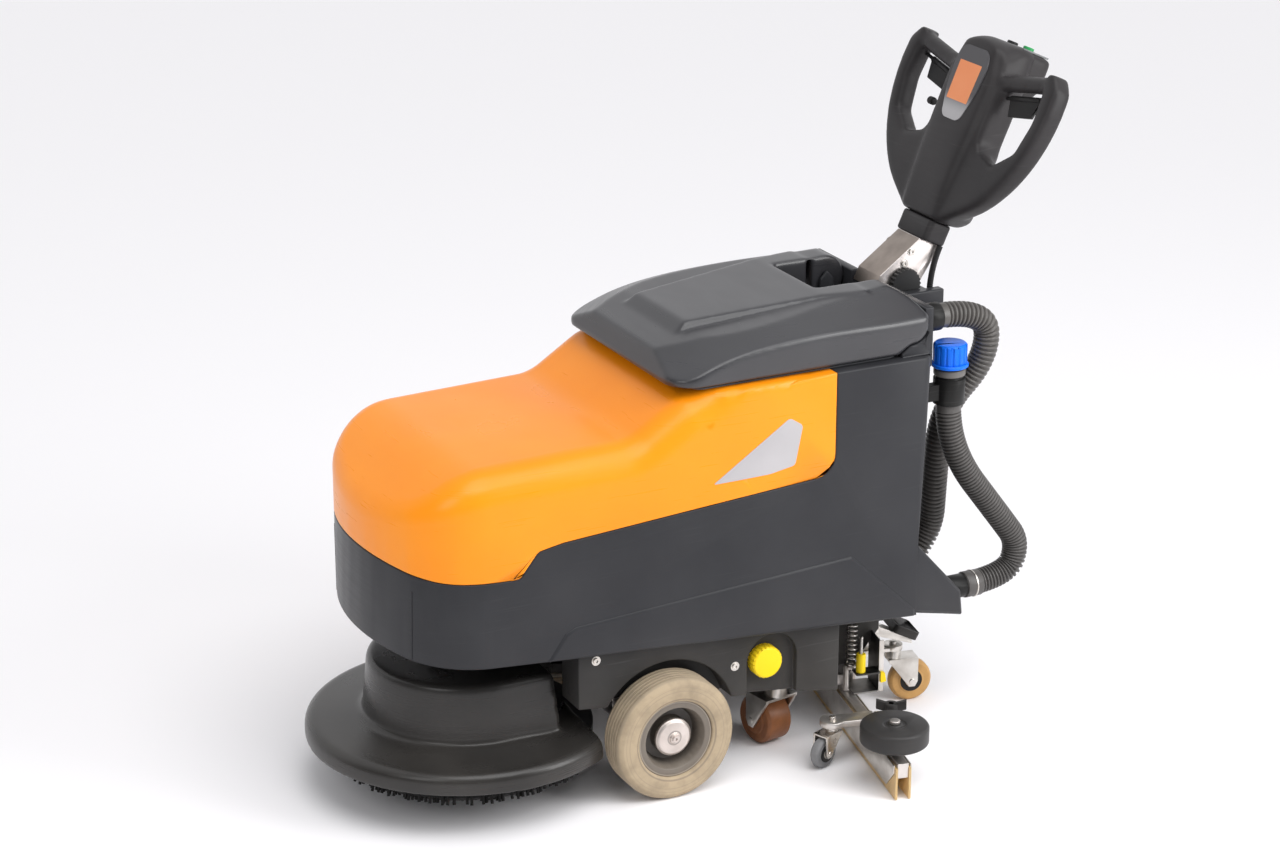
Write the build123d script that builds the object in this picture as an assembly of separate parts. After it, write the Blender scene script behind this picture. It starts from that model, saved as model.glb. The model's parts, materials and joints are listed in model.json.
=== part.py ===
from build123d import *
import math
import os

# Walk-behind floor scrubber with one disc brush, drive wheels and a swinging squeegee.
# Millimetres. +X is forward, +Y is the machine's left, +Z is up, the floor is Z = 0.
# Everything is drawn about the drive axle (X = 0) and moved at the end, so that the
# origin is the centre of the finished machine's box, on the floor.

# Clearances
RUN_GAP = 0.3
SWING_GAP = 1.0
SEAM_GAP = 0.4

# Drive wheels
WHEEL_RADIUS = 100.0
TYRE_WIDTH = 58.0
WHEEL_OUTER_Y = 235.0
TYRE_SHOULDER = 9.0
RIM_RADIUS = 63.0
RIM_FACE_INSET = 6.0
RIM_BEAD = 12.0
RIM_WEB_INSET = 28.0
RIM_WEB = 8.0
HUB_RADIUS = 26.0
HUB_BORE = 10.0
HUB_LENGTH = 32.0
HUB_CAP_RADIUS = 30.5
HUB_CAP_DEPTH = 9.0
TREAD_GROOVES = 5
TREAD_GROOVE_WIDTH = 3.0
TREAD_GROOVE_DEPTH = 2.5

# Body shell: tank below, hood above, both cut from one plan outline
BODY_HALF = 214.0
BODY_FRONT = 428.0
BODY_REAR = -458.0
NOSE_SWEEP_RADIUS = 420.0
NOSE_CORNER_RADIUS = 112.0
REAR_CORNER_RADIUS = 24.0
SIDE_PANEL_RISE = 3.0
SIDE_PANEL_FRONT = 206.0
SIDE_PANEL_FRONT_TOP = 312.0
SIDE_PANEL_REAR = -314.0
SIDE_PANEL_TOP = 339.0
TANK_WALL = 6.0
TANK_FLOOR_AT_AXLE = 248.4
TANK_FLOOR_SLOPE = 0.0755
TOWER_TOP = 645.0
TOWER_FRONT = -282.0
TOWER_REAR_TOP = -454.0
TOWER_REAR_FOOT = -436.0
HOOD_SHOULDER = 50.0
HOOD_WALL = 5.0
HOOD_RISE_REAR = -50.0
HOOD_LOW = 380.0
HOOD_NOSE_Z = 492.0
HOOD_NOSE_TOP_X = 330.0
HOOD_NOSE_TOP = 572.0
HOOD_BACK_X = 52.0
HOOD_BACK_TOP = 580.0
SEAM_NOSE = 430.0
SEAM_DIP_FRONT = 363.0
SEAM_DIP_REAR = 251.0
SEAM_DIP = 408.0
SEAM_STEP_FOOT = 220.0
SEAM_STEP_TOP = 443.0
SEAM_STEP_REAR = 180.0
SEAM_REAR = 481.0

# Rear feet of the tank and the console that carries the handle
FOOT_SIDE_INSET = 8.0
FOOT_WIDTH = 86.0
FOOT_OUTER_Y = BODY_HALF - FOOT_SIDE_INSET
FOOT_INNER_Y = FOOT_OUTER_Y - FOOT_WIDTH
FOOT_REAR = -530.0
FOOT_TOP = 337.0
FOOT_LIP_TOP = 238.0
FOOT_LIP_FOOT = 194.0
CONSOLE_HALF = 66.0
CONSOLE_SLOT_HALF = 48.0
CONSOLE_REAR = -562.0
CONSOLE_TOP = 698.0
CONSOLE_FLOOR = 668.0
CONSOLE_BACK_TOP = 684.0
CONSOLE_FOOT = 590.0
SHELF_SIDE_INSET = 36.0
SHELF_HALF = BODY_HALF - SHELF_SIDE_INSET
SHELF_REAR = -474.0
SHELF_TOP = 712.0

# Recovery tub under the lid
TUB_FRONT = -70.0
TUB_REAR = -398.0
TUB_SIDE_INSET = 44.0
TUB_HALF = BODY_HALF - TUB_SIDE_INSET
TUB_FLOOR = 505.0
TUB_WALL = 4.0
TUB_FLANGE = 3.0
TUB_FLANGE_REACH = 22.0

# Lid
LID_FRONT = -14.0
LID_SIDE_INSET = 14.0
LID_HALF = BODY_HALF - LID_SIDE_INSET
LID_CORNER_RADIUS = 48.0
LID_WALL = 4.0
LID_HINGE_X = -421.0
LID_HINGE_Z = 699.0
LID_BARREL_RADIUS = 36.0
LID_FRONT_Z = 658.0
LID_CREST_RUN = 10.0
LID_CREST_Z = 690.0
LID_REAR_CORNER = 14.0
LID_CREASE = [(36, -52), (-16, -41), (-60, -23), (-110, -9), (-186, 1), (-286, 5), (-390, 4), (-480, 2)]
LID_FLANK_SLOPE = 0.36
LID_PANEL_RISE = 13.0
LID_PANEL_FRONT = -66.0
LID_PANEL_FRONT_HALF = 94.0
LID_PANEL_REAR_HALF = 146.0
LID_PANEL_LEAN = 26.0
POCKET_FRONT = -325.0
POCKET_HALF = 69.5
POCKET_FLOOR = 664.0
POCKET_FLOOR_REAR = -388.0
HINGE_PIN_RADIUS = 5.0
HINGE_EAR = 6.0
HINGE_PIN_REACH = 24.0

# Handle column
PIVOT_X = -504.0
PIVOT_Z = 706.0
PIVOT_PIN_RADIUS = 8.0
PIVOT_LUG_RADIUS = 20.0
TOOTHED_DISC_RADIUS = 27.0
TOOTHED_DISC_TEETH = 24
COLUMN_HALF = 33.0
COLUMN_CHEEK = 9.0
COLUMN_WEB = 10.0
CLEVIS_HALF = 46.0

# Handle head, drawn in its own leaning frame: across, up the head, out of its front
HEAD_X = -556.0
HEAD_Z = 814.0
HEAD_LEAN = 24.3
SLEEVE_HALF = 45.0
SLEEVE_DEPTH = 39.0
SLEEVE_FOOT = -44.0
HEAD_FOOT = -10.0
HEAD_FRONT = 4.0
HEAD_PARTING = -12.0
HEAD_BACK = -32.0
HEAD_SLAB = 700.0
LOOP_ARC_RADIUS = 226.0
LOOP_ARC_OFFSET = 10.0
LOOP_ARC_UP = 214.0
LOOP_TOP_UP = 277.0
LOOP_TOP_HALF = 188.0
LOOP_INNER_HALF = 74.0
GRIP_RADIUS = 14.5
GRIP_INNER_HALF = 64.0
GRIP_INNER_UP = 231.0
GRIP_END_INSET = 2.0
GRIP_OUTER_HALF = LOOP_TOP_HALF - GRIP_END_INSET
GRIP_OUTER_UP = 253.0
HUMP_RISE = 12.0
HEAD_TOP = 293.0
BOX_HALF = 57.0
BOX_FOOT = 205.0
BOX_BACK = -92.0
PANEL_THICKNESS = 3.0
PANEL_HALF = 48.0
PANEL_FRONT = -33.0
PANEL_BACK = -84.0
LABEL_THICKNESS = 1.6
BUTTON_RADIUS = 9.0
BUTTON_RISE = 5.0
BUTTON_SPACING = 23.0
BUTTON_TRAVEL = 2.0

# Trigger paddles and dosing lever
TRIGGER_DEPTH = -21.0
TRIGGER_DROP = 21.5
TRIGGER_BARREL = 5.0
TRIGGER_PIN = 3.0
TRIGGER_INNER = 16.0
TRIGGER_OUTER = 92.0
TRIGGER_BLADE = 30.0
TRIGGER_THICKNESS = 5.0
DOSING_UP = 163.0
DOSING_SINK = 9.0
DOSING_DEPTH = -21.0
DOSING_BALL = 6.0
DOSING_ROD = 4.0
DOSING_LENGTH = 58.0
DOSING_PIN = 3.0
DOSING_PIN_REACH = 7.0

# Chassis below the tank
CHASSIS_HALF = 200.0
CHASSIS_FRONT = 150.0
CHASSIS_REAR = -304.0
CHASSIS_FRONT_Z = 167.0
CHASSIS_MID_X = -217.0
CHASSIS_MID_Z = 122.0
CHASSIS_REAR_Z = 107.0
CHASSIS_WALL = 8.0
ARCH_RADIUS = 118.0
ARCH_INNER_Y = 166.0
DRIVE_BAY_FRONT = 142.0
DRIVE_BAY_REAR = -122.0
DRIVE_BAY_HALF = 158.0
DRIVE_BAY_TOP = 228.0
DECK_WINDOW_HALF = 140.0
REAR_BAY_FRONT = -134.0
REAR_BAY_HALF = 174.0

# Filter cap on the left of the chassis
FILTER_X = -172.0
FILTER_Z = 184.0
FILTER_CAP_RADIUS = 26.0
FILTER_CAP_DEPTH = 20.0
FILTER_STEM_RADIUS = 16.0
FILTER_RECESS = 11.0
FILTER_RECESS_RADIUS = 44.0
FILTER_RECESS_OFFSET = 12.0
FILTER_FLUTES = 22

# Drive axle
AXLE_GAP = 1.0
GEARBOX_FRONT = 22.0
GEARBOX_REAR = -62.0
GEARBOX_HALF = 54.0
GEARBOX_FOOT = 58.0
GEARBOX_TOP = 150.0
AXLE_TUBE_RADIUS = 20.0
DRIVE_MOTOR_RADIUS = 42.0
DRIVE_MOTOR_LENGTH = 54.0

# Batteries and suction motor inside the tank
BATTERY_LENGTH = 262.0
BATTERY_WIDTH = 172.0
BATTERY_HEIGHT = 205.0
BATTERY_CENTRE_X = -128.0
BATTERY_SPACING = 8.0
BATTERY_POST = 7.0
SUCTION_MOTOR_X = -352.0
SUCTION_MOTOR_RADIUS = 68.0
SUCTION_MOTOR_HEIGHT = 150.0

# Brush deck
DECK_X = 252.0
BRIM_RADIUS = 249.0
BRIM_FOOT = 76.0
BRIM_TOP = 111.0
BRIM_ROLL = 15.0
DOME_RADIUS = 150.0
DOME_FOOT_RADIUS = 160.0
DOME_FOOT = 120.0
DOME_TOP = 213.0
DECK_WALL = 5.0
DECK_REAR = 108.0
DOME_REAR = 157.0
ARM_LENGTH = 104.0
ARM_RAISED_ANGLE = 10.0
ARM_CHASSIS_X = 36.0
LOWER_ARM_Z = 158.0
ARM_SPREAD = 34.0
ARM_INNER = 45.0
ARM_WIDTH = 11.0
ARM_HEIGHT = 16.0
ARM_PIN_RADIUS = 5.0
LUG_GAP = 2.0
LUG_WIDTH = 7.0
LUG_RADIUS = 11.0
BRUSH_MOTOR_RADIUS = 56.0
BRUSH_MOTOR_RISE = 30.0
BRUSH_RADIUS = 200.0
BRUSH_SPREAD = 211.0
BRUSH_DISC_TOP = 93.0
BRUSH_DISC_FOOT = 78.0
BRUSH_TIP = 40.0
BRUSH_HUB_RADIUS = 48.0
BRUSH_HUB_TOP = 150.0
BRISTLE_RADIUS = 3.2
BRISTLE_RINGS = 6
BRISTLES_IN_RING = 60

# Castors under the chassis
CASTOR_RADIUS = 40.0
CASTOR_WIDTH = 50.0
CASTOR_X = -226.0
CASTOR_Y = 106.0
CASTOR_TRAIL = 26.0
CASTOR_TURN = 100.0
CASTOR_BOSS_Z = 112.0
CASTOR_BOSS_RADIUS = 31.0

# Squeegee, drawn straight behind its pivot and then swung to the left
SWING_X = -150.0
SWING_ANGLE = 12.0
SWING_PIN_RADIUS = 8.0
SWING_BOSS_Z = 104.0
SWING_ARM_HALF = 14.0
SWING_ARM_TOP = 100.0
SWING_ARM_DEPTH = 18.0
LIFT_X = -312.0
LIFT_Z = 84.0
LIFT_PIN_RADIUS = 6.0
POST_Y = 52.0
POST_PLATE = 4.0
POST_REAR = -446.0
POST_FOOT = 66.0
POST_TOP = 186.0
SQUEEGEE_X = -388.0
SQUEEGEE_HALF = 352.0
SQUEEGEE_BAR_HALF = 9.0
SQUEEGEE_BAR_FOOT = 36.0
SQUEEGEE_BAR_TOP = 60.0
BLADE_THICKNESS = 3.5
BLADE_TOP = 58.0
CLAMP_THICKNESS = 2.0
CLAMP_FOOT = 10.0
CLAMP_END_CUT = 34.0
BUMPER_END_INSET = 61.0
BUMPER_Y = SQUEEGEE_HALF - BUMPER_END_INSET
BUMPER_X = -393.0
BUMPER_RADIUS = 54.0
BUMPER_FOOT = 70.0
BUMPER_TOP = 101.0
BUMPER_BOLT = 5.0
KNOB_X = -416.0
KNOB_END_INSET = 144.0
KNOB_Y = SQUEEGEE_HALF - KNOB_END_INSET
KNOB_FOOT = 79.0
KNOB_TOP = 96.0
KNOB_SPAN = 24.0
KNOB_TURN = 162.0
NOZZLE_Y = 24.0
NOZZLE_TOP = 78.0
NOZZLE_RADIUS = 25.0
SMALL_CASTOR_RADIUS = 25.0
SMALL_CASTOR_WIDTH = 18.0
SMALL_CASTOR_X = -323.0
SMALL_CASTOR_END_INSET = 156.0
SMALL_CASTOR_Y = SQUEEGEE_HALF - SMALL_CASTOR_END_INSET
SMALL_CASTOR_TRAIL = 22.0
SMALL_CASTOR_ARM = 15.0
SMALL_CASTOR_BOSS = 20.0
SMALL_CASTOR_TURN = 214.0
SMALL_CASTOR_HEAD = 74.0
BRACKET_Y = -6.0
BRACKET_PLATE = 5.0
BRACKET_FRONT = -420.0
BRACKET_REAR = -468.0
BRACKET_FOOT = 42.0
BRACKET_TOP = 128.0
REAR_CASTOR_RADIUS = 36.0
REAR_CASTOR_WIDTH = 22.0
REAR_CASTOR_X = -490.0
REAR_CASTOR_TRAIL = 30.0
REAR_CASTOR_HEAD = 92.0
PEDAL_PIVOT_X = -452.0
PEDAL_PIVOT_Z = 138.0
PEDAL_LENGTH = 62.0
PEDAL_DROP = 26.0
PEDAL_PAD_LENGTH = 46.0
PEDAL_PAD_WIDTH = 58.0
PEDAL_PAD_HEIGHT = 14.0
PEDAL_RIBS = 6

# Hoses: outer radius over the ribs, radius between them, and bore
HOSE_CREST = 20.5
HOSE_VALLEY = 18.5
HOSE_BORE = 16.0
HOSE_RIB_PITCH = 12.0
SUCTION_ROUTE = [
    (-498.0, 150.0, 686.0),
    (-588.0, 150.0, 686.0),
    (-594.0, 145.0, 600.0),
    (-541.0, 100.0, 508.0),
    (-547.0, 80.0, 385.0),
]
HOSE_JOINT = (-500.0, -16.0, 222.0)
PICKUP_CORNER_Z = 150.0
DRAIN_ROUTE = [
    (-523.0, 150.0, 538.0),
    (-523.0, 150.0, 464.0),
    (-632.0, 150.0, 322.0),
    (-666.0, 150.0, 276.0),
    (-646.0, 150.0, 220.0),
    (-562.0, 150.0, 220.0),
]
CUFF_RADIUS = 19.5
DRAIN_CAP_RADIUS = 27.0
DRAIN_CAP_FOOT = 600.0
DRAIN_CAP_TOP = 639.0
CLIP_RADIUS = 25.5
CLIP_FOOT = 540.0
CLIP_TOP = 582.0

# Lift spring and handle cable
SPRING_X = -396.0
SPRING_Y = 68.0
SPRING_WIRE = 1.5
SPRING_RADIUS = 8.0
SPRING_TURNS = 8
SPRING_FOOT = 104.0
SPRING_TOP = 176.0
CABLE_RADIUS = 5.0


# Small helpers

def block(x0, x1, y0, y1, z0, z1):
    """Box between two corners."""
    body = Box(x1 - x0, y1 - y0, z1 - z0)
    return Pos((x0 + x1) / 2, (y0 + y1) / 2, (z0 + z1) / 2) * body


def bar(start, end, radius):
    """Round bar from one point to another."""
    along = Vector(*end) - Vector(*start)
    return extrude(Plane(origin=start, z_dir=along) * Circle(radius), amount=along.length)


def upright(x, y, z0, z1, radius):
    """Standing cylinder."""
    return bar((x, y, z0), (x, y, z1), radius)


def across(outline, y0, y1):
    """Closed outline in X and Z, extruded from y0 to y1."""
    return Pos(0, y1, 0) * extrude(Plane.XZ * outline, amount=y1 - y0)


def polygon(*points):
    """Straight-sided face."""
    return make_face(Polyline(*points, close=True))


def turned(points):
    """Ring from a closed outline of radius and height, about Z."""
    return revolve(Plane.XZ * polygon(*points), Axis.Z)


def turned_on_axle(outline, x, z):
    """Ring from a face of radius and Y, about an axle along Y."""
    return Pos(x, 0, z) * revolve(outline, Axis.Y)


def mirrored(shape):
    """The same piece on the machine's other side."""
    return mirror(shape, about=Plane.XZ)


def swung(shape):
    """A piece of the squeegee, swung to the left about its pivot."""
    return Pos(SWING_X, 0, 0) * Rot(0, 0, -SWING_ANGLE) * Pos(-SWING_X, 0, 0) * shape


def swung_point(point):
    """The same turn for one point."""
    turn = math.radians(-SWING_ANGLE)
    dx = point[0] - SWING_X
    x = SWING_X + dx * math.cos(turn) - point[1] * math.sin(turn)
    y = dx * math.sin(turn) + point[1] * math.cos(turn)
    return (x, y, point[2])


def tank_floor(x):
    """Height of the tank's underside at x."""
    return TANK_FLOOR_AT_AXLE + TANK_FLOOR_SLOPE * x


HEAD_PLANE = Plane(
    origin=(HEAD_X, 0, HEAD_Z),
    x_dir=(0, 1, 0),
    z_dir=(math.cos(math.radians(HEAD_LEAN)), 0, math.sin(math.radians(HEAD_LEAN))),
)


def head_point(side, up, out):
    """A point of the leaning head in machine axes."""
    return tuple(HEAD_PLANE.from_local_coords((side, up, out)))


def on_head(outline, out0, out1, taper=0):
    """Closed outline in the head's plane, extruded from out0 to out1."""
    return extrude(HEAD_PLANE.offset(out0) * outline, amount=out1 - out0, taper=taper)


# Body shell

def body_plan(inset):
    """Plan outline of tank and hood: straight sides, swept nose, rounded corners."""
    half = BODY_HALF - inset
    rear = BODY_REAR + inset
    front = BODY_FRONT - inset
    sweep_radius = NOSE_SWEEP_RADIUS - inset
    corner = front - sweep_radius + math.sqrt(sweep_radius ** 2 - half ** 2)
    sides = Polyline((corner, -half), (rear, -half), (rear, half), (corner, half))
    nose = ThreePointArc((corner, half), (front, 0), (corner, -half))
    plan = make_face(sides.edges() + nose.edges())
    plan = fillet(plan.vertices().filter_by(lambda v: v.X > 0), NOSE_CORNER_RADIUS - inset)
    rear_corners = plan.vertices().filter_by(lambda v: v.X < rear + 1)
    return fillet(rear_corners, REAR_CORNER_RADIUS - inset)


def body_prism(inset):
    """The plan outline as a standing prism, taller than the body."""
    return extrude(Pos(0, 0, FOOT_LIP_FOOT - 20) * body_plan(inset), amount=TOWER_TOP - FOOT_LIP_FOOT + 40)


def seam_line(shift):
    """Seam between tank and hood, from the nose back to the tower's top."""
    points = [
        (BODY_FRONT + 40, SEAM_NOSE + shift),
        (SEAM_DIP_FRONT, SEAM_DIP + 3 + shift),
        (SEAM_DIP_REAR, SEAM_DIP - 3 + shift),
        (SEAM_STEP_FOOT, SEAM_STEP_TOP + shift),
        (SEAM_STEP_REAR, SEAM_STEP_TOP + 7 + shift),
        (TOWER_FRONT + shift, SEAM_REAR + shift),
        (TOWER_FRONT + shift, TOWER_TOP + 40),
    ]
    return FilletPolyline(*points, radius=[300, 18, 16, 60, 36])


def base_tank():
    """Moulded tank: tub with a rear tower, two rear feet and the handle console."""
    seam = seam_line(0)
    start = seam @ 0
    outline = make_face(
        seam.edges()
        + Polyline(
            seam @ 1,
            (TOWER_REAR_TOP - 20, TOWER_TOP + 40),
            (TOWER_REAR_TOP - 20, tank_floor(TOWER_REAR_TOP - 20)),
            (start.X, tank_floor(start.X)),
            start,
        ).edges()
    )
    rear_wall = polygon(
        (BODY_FRONT + 60, TOWER_TOP),
        (TOWER_REAR_TOP, TOWER_TOP),
        (TOWER_REAR_FOOT, FOOT_TOP),
        (TOWER_REAR_FOOT, FOOT_LIP_FOOT - 40),
        (BODY_FRONT + 60, FOOT_LIP_FOOT - 40),
    )
    rear_inside = polygon(
        (BODY_FRONT + 60, TOWER_TOP - TANK_WALL),
        (TOWER_REAR_TOP + TANK_WALL, TOWER_TOP - TANK_WALL),
        (TOWER_REAR_FOOT + TANK_WALL, FOOT_TOP),
        (TOWER_REAR_FOOT + TANK_WALL, tank_floor(TOWER_REAR_FOOT) + TANK_WALL),
        (BODY_FRONT + 60, tank_floor(BODY_FRONT + 60) + TANK_WALL),
    )
    wide = BODY_HALF + 20
    tank = body_prism(0) & across(outline, -wide, wide) & across(rear_wall, -wide, wide)
    tank -= body_prism(TANK_WALL) & across(rear_inside, -wide, wide)
    mouth = block(TUB_REAR - RUN_GAP, TOWER_FRONT + 20, -TUB_HALF - RUN_GAP, TUB_HALF + RUN_GAP,
                  TOWER_TOP - 2 * TANK_WALL, TOWER_TOP + 20)
    tank -= mouth

    panel_end = BODY_REAR + REAR_CORNER_RADIUS + 2
    panel_outline = polygon(
        (SIDE_PANEL_FRONT, tank_floor(SIDE_PANEL_FRONT)),
        (SIDE_PANEL_FRONT - 29, SIDE_PANEL_FRONT_TOP - 8),
        (SIDE_PANEL_FRONT - 46, SIDE_PANEL_FRONT_TOP),
        (SIDE_PANEL_REAR, SIDE_PANEL_TOP),
        (panel_end, tank_floor(panel_end) + 12),
        (panel_end, tank_floor(panel_end)),
    )
    panel = across(panel_outline, BODY_HALF - TANK_WALL / 2, BODY_HALF + SIDE_PANEL_RISE)
    panel_face = panel.faces().sort_by(Axis.Y)[-1]
    panel = chamfer(panel_face.edges(), SIDE_PANEL_RISE - 0.5)
    tank += panel
    tank += mirrored(panel)

    foot_outline = polygon(
        (TOWER_REAR_FOOT, tank_floor(TOWER_REAR_FOOT)),
        (TOWER_REAR_FOOT, FOOT_TOP),
        (FOOT_REAR + 5, FOOT_LIP_TOP),
        (FOOT_REAR, FOOT_LIP_FOOT),
    )
    foot = across(foot_outline, FOOT_INNER_Y, FOOT_OUTER_Y)
    outer_edges = foot.edges().filter_by(lambda e: e.center().Y > FOOT_OUTER_Y - 1)
    foot = fillet(outer_edges.filter_by(lambda e: e.center().X < TOWER_REAR_FOOT - 1), 7)
    tank += foot
    tank += mirrored(foot)

    shelf_outline = polygon(
        (TOWER_REAR_TOP + TANK_WALL / 2, CONSOLE_FOOT),
        (SHELF_REAR, CONSOLE_FOOT + 30),
        (SHELF_REAR, SHELF_TOP),
        (LID_HINGE_X - LID_BARREL_RADIUS - SWING_GAP, SHELF_TOP),
        (LID_HINGE_X - LID_BARREL_RADIUS - SWING_GAP, TOWER_TOP - TANK_WALL),
        (TOWER_REAR_TOP + TANK_WALL / 2, TOWER_TOP - TANK_WALL),
    )
    tank += across(shelf_outline, -SHELF_HALF, SHELF_HALF)
    console_outline = polygon(
        (TOWER_REAR_TOP, CONSOLE_FOOT),
        (CONSOLE_REAR, CONSOLE_FLOOR - 30),
        (CONSOLE_REAR, CONSOLE_TOP),
        (SHELF_REAR + 2, CONSOLE_TOP),
    )
    console = across(console_outline, -CONSOLE_HALF, CONSOLE_HALF)
    tank += console
    slot = block(CONSOLE_REAR + 22, LID_HINGE_X, -CONSOLE_SLOT_HALF, CONSOLE_SLOT_HALF,
                 CONSOLE_FLOOR, PIVOT_Z + 60)
    back = block(CONSOLE_REAR - 5, CONSOLE_REAR + 23, -CONSOLE_SLOT_HALF, CONSOLE_SLOT_HALF,
                 CONSOLE_BACK_TOP, PIVOT_Z + 60)
    tank -= slot
    tank -= back

    cradle_outline = polygon(
        (TOWER_REAR_TOP, TOWER_TOP - TANK_WALL),
        (TOWER_REAR_TOP, LID_HINGE_Z - 10),
        (LID_HINGE_X, LID_HINGE_Z - LID_BARREL_RADIUS - SWING_GAP),
        (TUB_REAR - 7.5, TOWER_TOP + 5),
        (TUB_REAR - 7.5, TOWER_TOP - TANK_WALL),
    )
    cradle = across(cradle_outline, -LID_HALF + 1, LID_HALF - 1)
    cradle -= bar((LID_HINGE_X, -LID_HALF, LID_HINGE_Z), (LID_HINGE_X, LID_HALF, LID_HINGE_Z),
                  LID_BARREL_RADIUS + SWING_GAP)
    tank += cradle

    ear_outer = POCKET_HALF - 2.5
    ear_inner = ear_outer - HINGE_EAR
    ear_outline = polygon(
        (LID_HINGE_X - 16, TOWER_TOP - TANK_WALL),
        (LID_HINGE_X - 12, LID_HINGE_Z),
        (LID_HINGE_X, LID_HINGE_Z + 13),
        (LID_HINGE_X + 12, LID_HINGE_Z),
        (LID_HINGE_X + 16, TOWER_TOP - TANK_WALL),
    )
    ear = across(ear_outline, ear_inner, ear_outer)
    ear += bar((LID_HINGE_X, ear_inner, LID_HINGE_Z),
               (LID_HINGE_X, ear_outer + HINGE_PIN_REACH, LID_HINGE_Z), HINGE_PIN_RADIUS)
    tank += ear
    tank += mirrored(ear)
    return tank


def hood_line(drop):
    """Top line of the hood: nose, flat back, hollow rise to the lid."""
    points = [
        (BODY_FRONT + 22 - drop, HOOD_LOW + 25),
        (BODY_FRONT + 8 - drop, HOOD_NOSE_Z - drop),
        (HOOD_NOSE_TOP_X, HOOD_NOSE_TOP - drop),
        (HOOD_BACK_X, HOOD_BACK_TOP - drop),
        (HOOD_RISE_REAR - drop / 2, TOWER_TOP - drop),
        (TOWER_FRONT - 40, TOWER_TOP - drop),
    ]
    return FilletPolyline(*points, radius=[70, 130, 75, 20])


def hood_blank(inset):
    """Front of the hood with rounded shoulders and the square part under the lid."""
    line = hood_line(inset)
    low = HOOD_LOW
    outline = make_face(
        line.edges()
        + Polyline(line @ 1, ((line @ 1).X, low), ((line @ 0).X, low), line @ 0).edges()
    )
    wide = BODY_HALF + 20
    blank = body_prism(inset) & across(outline, -wide, wide)
    front = blank & block(HOOD_RISE_REAR - 60, BODY_FRONT + 40, -wide, wide, low, TOWER_TOP + 10)
    crest = front.edges().filter_by(
        lambda e: e.center().Z > 480 and HOOD_RISE_REAR - 40 < e.center().X
        and abs(e.center().Y) > 1
        and (abs(e.center().Y) > BODY_HALF - inset - 2 or e.center().X > 200)
        and e.bounding_box().size.Z + e.bounding_box().size.X > 1
        and e.center().Z < TOWER_TOP - inset - 0.5
    )
    front = fillet(crest, HOOD_SHOULDER - inset)
    corner = Pos(HOOD_RISE_REAR - 130, 0) * Rectangle(220, 2 * (BODY_HALF - inset))
    corner = fillet(corner.vertices(), 44 - inset)
    rear = extrude(Pos(0, 0, low) * corner, amount=TOWER_TOP - inset - low)
    rear += blank & block(TOWER_FRONT - 60, HOOD_RISE_REAR - 59, -wide, wide, low, TOWER_TOP + 10)
    return front + rear


def upper_hood():
    """Hood over the batteries: a moulded cover, open below and under the lid."""
    seam = seam_line(SEAM_GAP)
    above = make_face(
        seam.edges()
        + Polyline(
            seam @ 1,
            (BODY_FRONT + 60, TOWER_TOP + 40),
            (BODY_FRONT + 60, (seam @ 0).Y),
            seam @ 0,
        ).edges()
    )
    wide = BODY_HALF + 20
    hood = hood_blank(0) - hood_blank(HOOD_WALL)
    hood &= across(above, -wide, wide)
    mouth = block(TOWER_FRONT - 20, TUB_FRONT + RUN_GAP, -TUB_HALF - RUN_GAP, TUB_HALF + RUN_GAP,
                  TOWER_TOP - 2 * HOOD_WALL, TOWER_TOP + 20)
    return hood - mouth


def recovery_tank():
    """Dirty-water tub hung by its flange in the mouth under the lid."""
    outer = block(TUB_REAR, TUB_FRONT, -TUB_HALF, TUB_HALF, TUB_FLOOR, TOWER_TOP)
    outer = fillet(outer.edges().filter_by(Axis.Z), 30)
    inner = block(TUB_REAR + TUB_WALL, TUB_FRONT - TUB_WALL, -TUB_HALF + TUB_WALL, TUB_HALF - TUB_WALL,
                  TUB_FLOOR + TUB_WALL, TOWER_TOP + TUB_FLANGE + 1)
    inner = fillet(inner.edges().filter_by(Axis.Z), 30 - TUB_WALL)
    flange = block(TUB_REAR - 6, TUB_FRONT + TUB_FLANGE_REACH,
                   -TUB_HALF - TUB_FLANGE_REACH, TUB_HALF + TUB_FLANGE_REACH,
                   TOWER_TOP, TOWER_TOP + TUB_FLANGE)
    flange = fillet(flange.edges().filter_by(Axis.Z), 20)
    return outer + flange - inner


# Lid

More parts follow.
